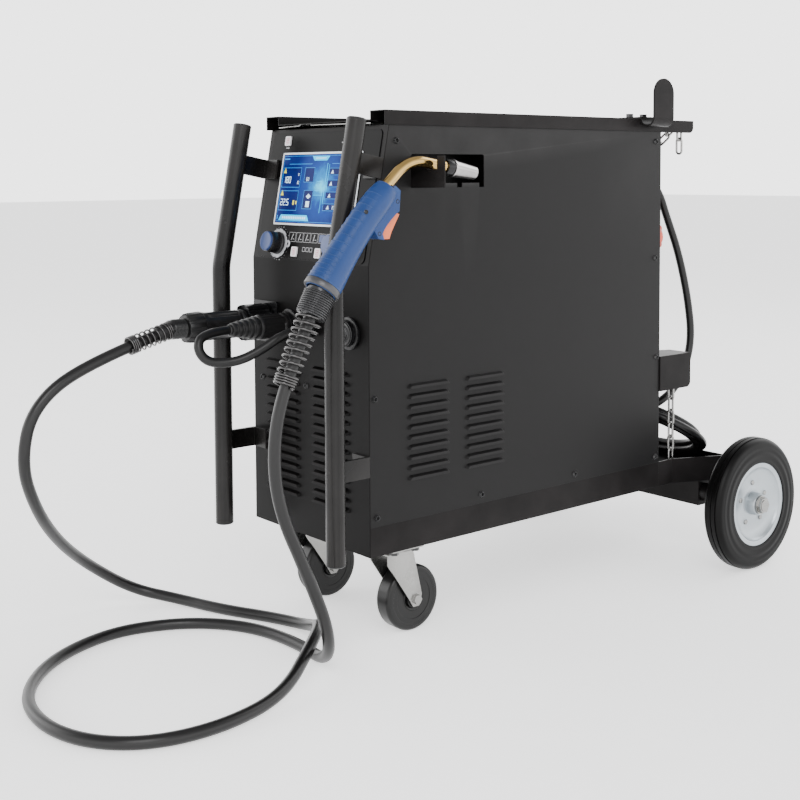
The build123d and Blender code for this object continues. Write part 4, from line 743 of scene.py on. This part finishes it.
for index in range(11):
    start = 13 + index * 3
    size = 22.3 - index * 0.1
    ribs += [(start, size - 2.4), (start + 0.7, size - 0.3), (start + 1.2, size), (start + 1.7, size - 0.3),
             (start + 2.4, size - 2.4)]
ribs.append((46.4, 13))
boot = lathe("torch_boot_ribs", boot_place, ribs, BOOT_GREY, steps=72)
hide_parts("torch_boot")
spring = helix("torch_strain_spring", spring_place, 17.8, 1.65, turn_heights(-1.0, (9, 9.3), (4, 3.4)),
               SPRING, tip_radius=13.8)
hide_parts("torch_spring")

GRIP_STATIONS = [
    (-109.5, 539, 25.0), (-98, 554, 24.0), (-84, 572, 22.4), (-60, 602, 21.0), (-35, 631, 20.5),
    (-12, 655, 19.5),
]


def grip_ribs():
    """Low ribs over the back of the grip, square to its axis, three between each two stations."""
    arcs = []
    for low, high in zip(GRIP_STATIONS, GRIP_STATIONS[1:]):
        for share in (0.12, 0.45, 0.78):
            y, z, radius = (a + (b - a) * share for a, b in zip(low, high))
            place = torch_place(y, z, high[0] - low[0], high[1] - low[1])
            angles = [math.radians(270 + 62 * (index / 12 - 1)) for index in range(25)]
            arcs.append([place @ point(radius * math.cos(v), radius * math.sin(v), 0) for v in angles])
    bent_wires("torch_grip_ribs", arcs, 0.75, BLUE_GRIP, sides=2)


grip_ribs()
for y, z, reach in ((-50, 636, 17.2), (-24, 605.5, 12.9), (8.5, 649, 12.9)):
    hole = pose((TORCH_X + reach, FRONT + y, z), (1, 0, 0), (0, 1, 0))
    lathe(f"torch_screw_{round(abs(y))}", hole,
          [(-1.5, 1.5), (-1.5, 2.9), (0.3, 3.0), (0.45, 2.6), (0.2, 2.0), (-0.5, 1.8), (-0.8, 0.6)],
          GLOSS_BLACK, steps=32)
lathe("torch_insulator", nozzle_place,
      [(-3, 8.2), (-3, 10.4), (0, 11.6), (8.8, 11.6), (9.2, 12.2), (9.6, 8.2)], GLOSS_BLACK, steps=64,
      hollow=True)
lathe("nozzle_lip", nozzle_place,
      [(9, 12), (9, 13.1), (11, 13.3), (13, 12.9), (13.4, 12.3)], CHROME, steps=72, hollow=True)

# ---- torch plug ----------------------------------------------------------
def on_front(x):
    """Axis straight out of the front at a socket."""
    return pose((x, FRONT, SOCKET_Z), (0, -1, 0))


def long_flutes(count, depth, low, high):
    """Radius factor for shallow lengthwise panels between two distances."""
    def factor(along, angle):
        if not low < along < high:
            return 1
        return 1 - depth * min(1, max(0, math.cos(angle * count) * 2.2 + 0.6))
    return factor


plug_place = on_front(PLUG_X)
profile = [(46.5, 14), (46.5, 20.4), (48, 21.4), (54, 21.4), (55.5, 20.4), (57, 20.6), (60, 21.4)]
profile += [(62 + index * 7, 21.4) for index in range(8)]
profile += [(114, 21.6), (117, 21.9), (120.5, 22.3), (122, 22.3), (122, 12)]
plug = lathe("torch_plug_body", plug_place, profile, PLASTIC, steps=144,
             ripple=long_flutes(6, 0.075, 61, 113))
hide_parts("torch_plug")
lathe("torch_plug_rear_nut", plug_place,
      [(122.4, 12), (122.4, 22.6), (124, 23.6), (141, 22.8), (148, 21.8), (149.6, 20.6), (150, 13)],
      PLASTIC, steps=144,
      ripple=lambda along, angle: 1 - (0.07 if math.cos(angle * 12) > 0.3 and along > 126 else 0))
thread = [(149.5, 11)]
for index in range(9):
    thread += [(150 + index * 2.4, 14.1), (151.2 + index * 2.4, 15.2)]
thread += [(172, 14.2), (175.8, 14.2), (176, 11)]
lathe("torch_plug_thread", plug_place, thread, GLOSS_BLACK, steps=64)
droop = math.radians(15)
tail_place = pose((PLUG_X, FRONT - 172, SOCKET_Z), (0, -math.cos(droop), -math.sin(droop)))
lathe("torch_plug_sleeve", tail_place,
      [(-2, 9), (-2, 11.6), (20, 11.3), (24, 10.3), (24.5, 8.8)], PLASTIC, steps=64)
helix("torch_plug_spring", tail_place, 12.6, 1.35, turn_heights(0.0, (3, 3.0), (6, 8.6), (4, 3.0)), SPRING)

# ---- polarity plug -------------------------------------------------------
profile = [(12, 10), (12, 18.4), (14, 19), (19, 19), (20.5, 18.4)]
profile += [(22 + index * 6, 18.6) for index in range(7)]
profile += [(60, 18.8), (63, 17.6), (64, 15)]
for index in range(5):
    start = 65 + index * 9
    size = 17.2 - index * 1.5
    profile += [(start, size - 2.2), (start + 1.2, size - 0.2), (start + 3.6, size),
                (start + 6.4, size - 0.8), (start + 7.4, size - 3)]
profile += [(110.5, 8.8), (112, 7.4)]
polarity_plug = lathe("polarity_plug_body", on_front(POLARITY_X), profile, PLASTIC, steps=144,
                      ripple=long_flutes(5, 0.08, 21, 59))
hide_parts("polarity_plug")
lathe("gland_nut", on_front(15),
      [(9.6, 9), (9.6, 12.4), (11, 13.2), (18, 12.8), (22, 11.4), (24.4, 9.4), (24.4, 7.6)], PLASTIC,
      steps=96, ripple=lambda along, angle: 1 - (0.05 if math.cos(angle * 14) > 0.5 else 0))
lathe("mains_gland_nut", pose((MAINS_X, REAR, MAINS_Z), (0, 1, 0)),
      [(8.6, 11), (8.6, 14.4), (10, 15.2), (17, 14.6), (21, 12.2), (23.2, 9.6), (23.2, 7.6)], PLASTIC,
      steps=96, ripple=lambda along, angle: 1 - (0.04 if math.cos(angle * 14) > 0.5 else 0))
lathe("gas_inlet_tip", pose((-60, REAR, 240), (0, 1, 0)),
      [(10, 6.2), (14, 6.2), (15, 7.4), (18, 6.3), (19, 7.4), (22, 6.3), (23, 7.4), (26, 6.3), (31.6, 5.4),
       (31.8, 2)], BRASS, steps=48)
for x, word in ((POLARITY_X, "left"), (104, "right")):
    lathe(f"socket_{word}_lip", on_front(x),
          [(3.6, 18.6), (3.6, 22.6), (4.6, 23.6), (5.2, 22), (5.4, 19.4)], PLASTIC, steps=96, hollow=True,
          ripple=lambda along, angle: 1 - (0.03 if math.cos(angle * 6) > 0.8 else 0))
lathe("socket_right_core", on_front(104),
      [(11.9, 6), (11.9, 16), (12.6, 16.6), (13, 15.6), (12.7, 8.6), (12.2, 8.2)], GLOSS_BLACK, steps=64,
      hollow=True)

# ---- handles, wheels and trim --------------------------------------------
top_axis = (0, math.sin(LEAN), math.cos(LEAN))
tip = HANDLE_Y + (HANDLE_TOP - HANDLE_BEND) * math.tan(LEAN)
for side, word in SIDES:
    lathe(f"handle_{word}_top_cap", pose((side * HANDLE_X, tip, HANDLE_TOP), top_axis),
          [(-8, 11), (-8, 11.9), (-1, 11.9), (-0.9, 14.1), (0.6, 14.1), (2.2, 12.6), (2.8, 9), (3, 1)],
          PLASTIC, steps=64)
    lathe(f"handle_{word}_foot_cap", pose((side * HANDLE_X, HANDLE_Y, 141), (0, 0, -1)),
          [(-8, 11), (-8, 11.9), (-0.8, 11.9), (-0.6, 14.1), (1, 14.1), (2.4, 12.6), (3, 9), (3.2, 1)],
          PLASTIC, steps=64)
    hub = pose((side * WHEEL_X, AXLE_Y, WHEEL_RADIUS), (side, 0, 0), (0, 1, 0))
    body = f"rear_wheel_{word}"
    lathe(f"rim_{word}_dish", hub,
          [(3.4, 18.2), (5.2, 19), (6.4, 24), (4.6, 30), (3.9, 38), (4.4, 46), (6.6, 54), (9.6, 59),
           (12, 62.5), (15.6, 64), (16.4, 68), (16.6, 71.6), (15.6, 72), (14, 67), (3.2, 62)],
          RIM_PAINT, body, steps=120, hollow=True)
    lathe(f"hub_{word}_cap", hub, [(19, 10.2), (20.4, 17.9), (19.4, 18.6), (4, 19.8), (4, 10.2)],
          RIM_PAINT, body, steps=72, hollow=True)
    lathe(f"axle_{word}_sleeve", hub,
          [(-96, 15.2), (-96, 15.9), (-95, 16.6), (-22, 16.6), (-21, 15.9), (-21, 15.2)],
          BLACK_COAT, steps=64, hollow=True)
    for index in range(5):
        angle = 2 * math.pi * index / 5 + 0.35
        spot = (side * (WHEEL_X + 3.2), AXLE_Y + 36 * math.cos(angle), WHEEL_RADIUS + 36 * math.sin(angle))
        lathe(f"rim_{word}_bolt_{index}", pose(spot, (side, 0, 0), (0, 1, 0)),
              [(0, 1), (0, 4.6), (2.6, 4.4), (3.2, 3.4), (3.3, 0.8)], ZINC, body, steps=6, smooth=0)
    for sign in (-1, 1):
        rows = [(17.6, 103), (18.25, 98), (17.9, 95.5), (18.5, 90), (18.6, 84), (18.2, 79), (17.4, 76),
                (16.6, 73), (14, 73), (14, 103)]
        lathe(f"tyre_{word}_wall_{'in' if sign < 0 else 'out'}", hub,
              [(sign * along, radius) for along, radius in rows], TYRE, body, steps=120, hollow=True)

for side, word in SIDES:
    for end in (-1, 1):
        place = pose((side * 103, FRONT + 106, 50), (end, 0, 0), (0, 1, 0))
        lathe(f"caster_{word}_face_{'in' if end < 0 else 'out'}", place,
              [(14.6, 15), (15.4, 18), (13.2, 20), (12.6, 30), (13.4, 37), (15.2, 39), (15.3, 43),
               (14.4, 44)], CASTER_RUBBER, f"caster_roller_{word}", steps=96, hollow=True)

wire_path = [(-116, 31.6, 760), (-60, 31.4, 761.5), (-58, 31.4, 764), (-30, 31.4, 764), (-30, 31.4, 761.5),
             (116, 31.6, 760)]
bent_wires("lid_front_wire", [[point(x, FRONT + y, z) for x, y, z in wire_path]], 1.1, ZINC)

lathe("spool_winding", pose((-127, FRONT + 430, 565), (1, 0, 0), (0, 1, 0)),
      [(0.5, 60), (0.5, 131.5), (91, 131.5), (91, 60)], WIRE, "spool", steps=120, hollow=True)
plug_axis = pose((-62, REAR + 52, LYING_PLUG_Z), (1, 0, 0), (0, 1, 0))
profile = [(0.2, 7.4)]
for index in range(5):
    start = 1 + index * 4.6
    size = 10.4 + index * 0.8
    profile += [(start, size - 1.5), (start + 0.8, size), (start + 2.8, size), (start + 3.6, size - 1.5)]
profile += [(24.4, 13), (24.6, 12)]
lathe("mains_plug_boot", plug_axis, profile, PLASTIC, steps=64)
lathe("mains_plug_shroud", plug_axis,
      [(71, 21), (72, 27.4), (76, 27.6), (110, 27.2), (113.5, 26.6), (114, 25.4), (112, 24.4), (82, 24.2)],
      RED, steps=96, hollow=True)


# ---- floor and light -----------------------------------------------------
def add_floor():
    """Large pale floor that is not part of the object."""
    mesh = bpy.data.meshes.new("floor")
    mesh.from_pydata([(-30, -30, 0), (30, -30, 0), (30, 30, 0), (-30, 30, 0)], [], [(0, 1, 2, 3)])
    paper = surface("floor_paper", (0.94, 0.94, 0.94), 0.8, grain=40, bump=0.01, mottle=0.01, edge=0,
                    shine=0.1, glow=0.95)
    mesh.materials.append(paper)
    floor = bpy.data.objects.new("floor", mesh)
    bpy.context.scene.collection.objects.link(floor)


def add_light(name, place, aim, size, watts):
    """Soft square light."""
    data = bpy.data.lights.new(name, "AREA")
    data.shape = "RECTANGLE"
    data.size, data.size_y = size
    data.energy = watts
    lamp = bpy.data.objects.new(name, data)
    lamp.location = place
    lamp.rotation_euler = (Vector(aim) - Vector(place)).to_track_quat("-Z", "Y").to_euler()
    bpy.context.scene.collection.objects.link(lamp)


def add_sky():
    """Pale surroundings that turn grey overhead, so that metal has something to reflect."""
    world = bpy.data.worlds.new("studio")
    world.use_nodes = True
    tree = world.node_tree
    direction = node(tree, "ShaderNodeTexCoord").outputs["Generated"]
    parts = node(tree, "ShaderNodeSeparateXYZ")
    tree.links.new(direction, parts.inputs["Vector"])
    fade = node(tree, "ShaderNodeValToRGB")
    tree.links.new(parts.outputs["Z"], fade.inputs["Fac"])
    fade.color_ramp.elements[0].position = 0.12
    fade.color_ramp.elements[0].color = (1, 1, 1, 1)
    fade.color_ramp.elements[1].position = 0.75
    fade.color_ramp.elements[1].color = (0.22, 0.22, 0.225, 1)
    backdrop = tree.nodes["Background"]
    tree.links.new(fade.outputs["Color"], backdrop.inputs["Color"])
    backdrop.inputs["Strength"].default_value = 3.3
    bpy.context.scene.world = world


add_floor()
add_sky()
add_light("key", (3.2, -2.6, 3.4), (0, 0, 0.4), (2.4, 2.4), 110)
add_light("fill", (-3.4, -2.8, 2.2), (0, 0, 0.5), (3.0, 3.0), 60)
add_light("back", (0.6, 3.6, 3.2), (0, 0, 0.6), (2.6, 2.6), 70)
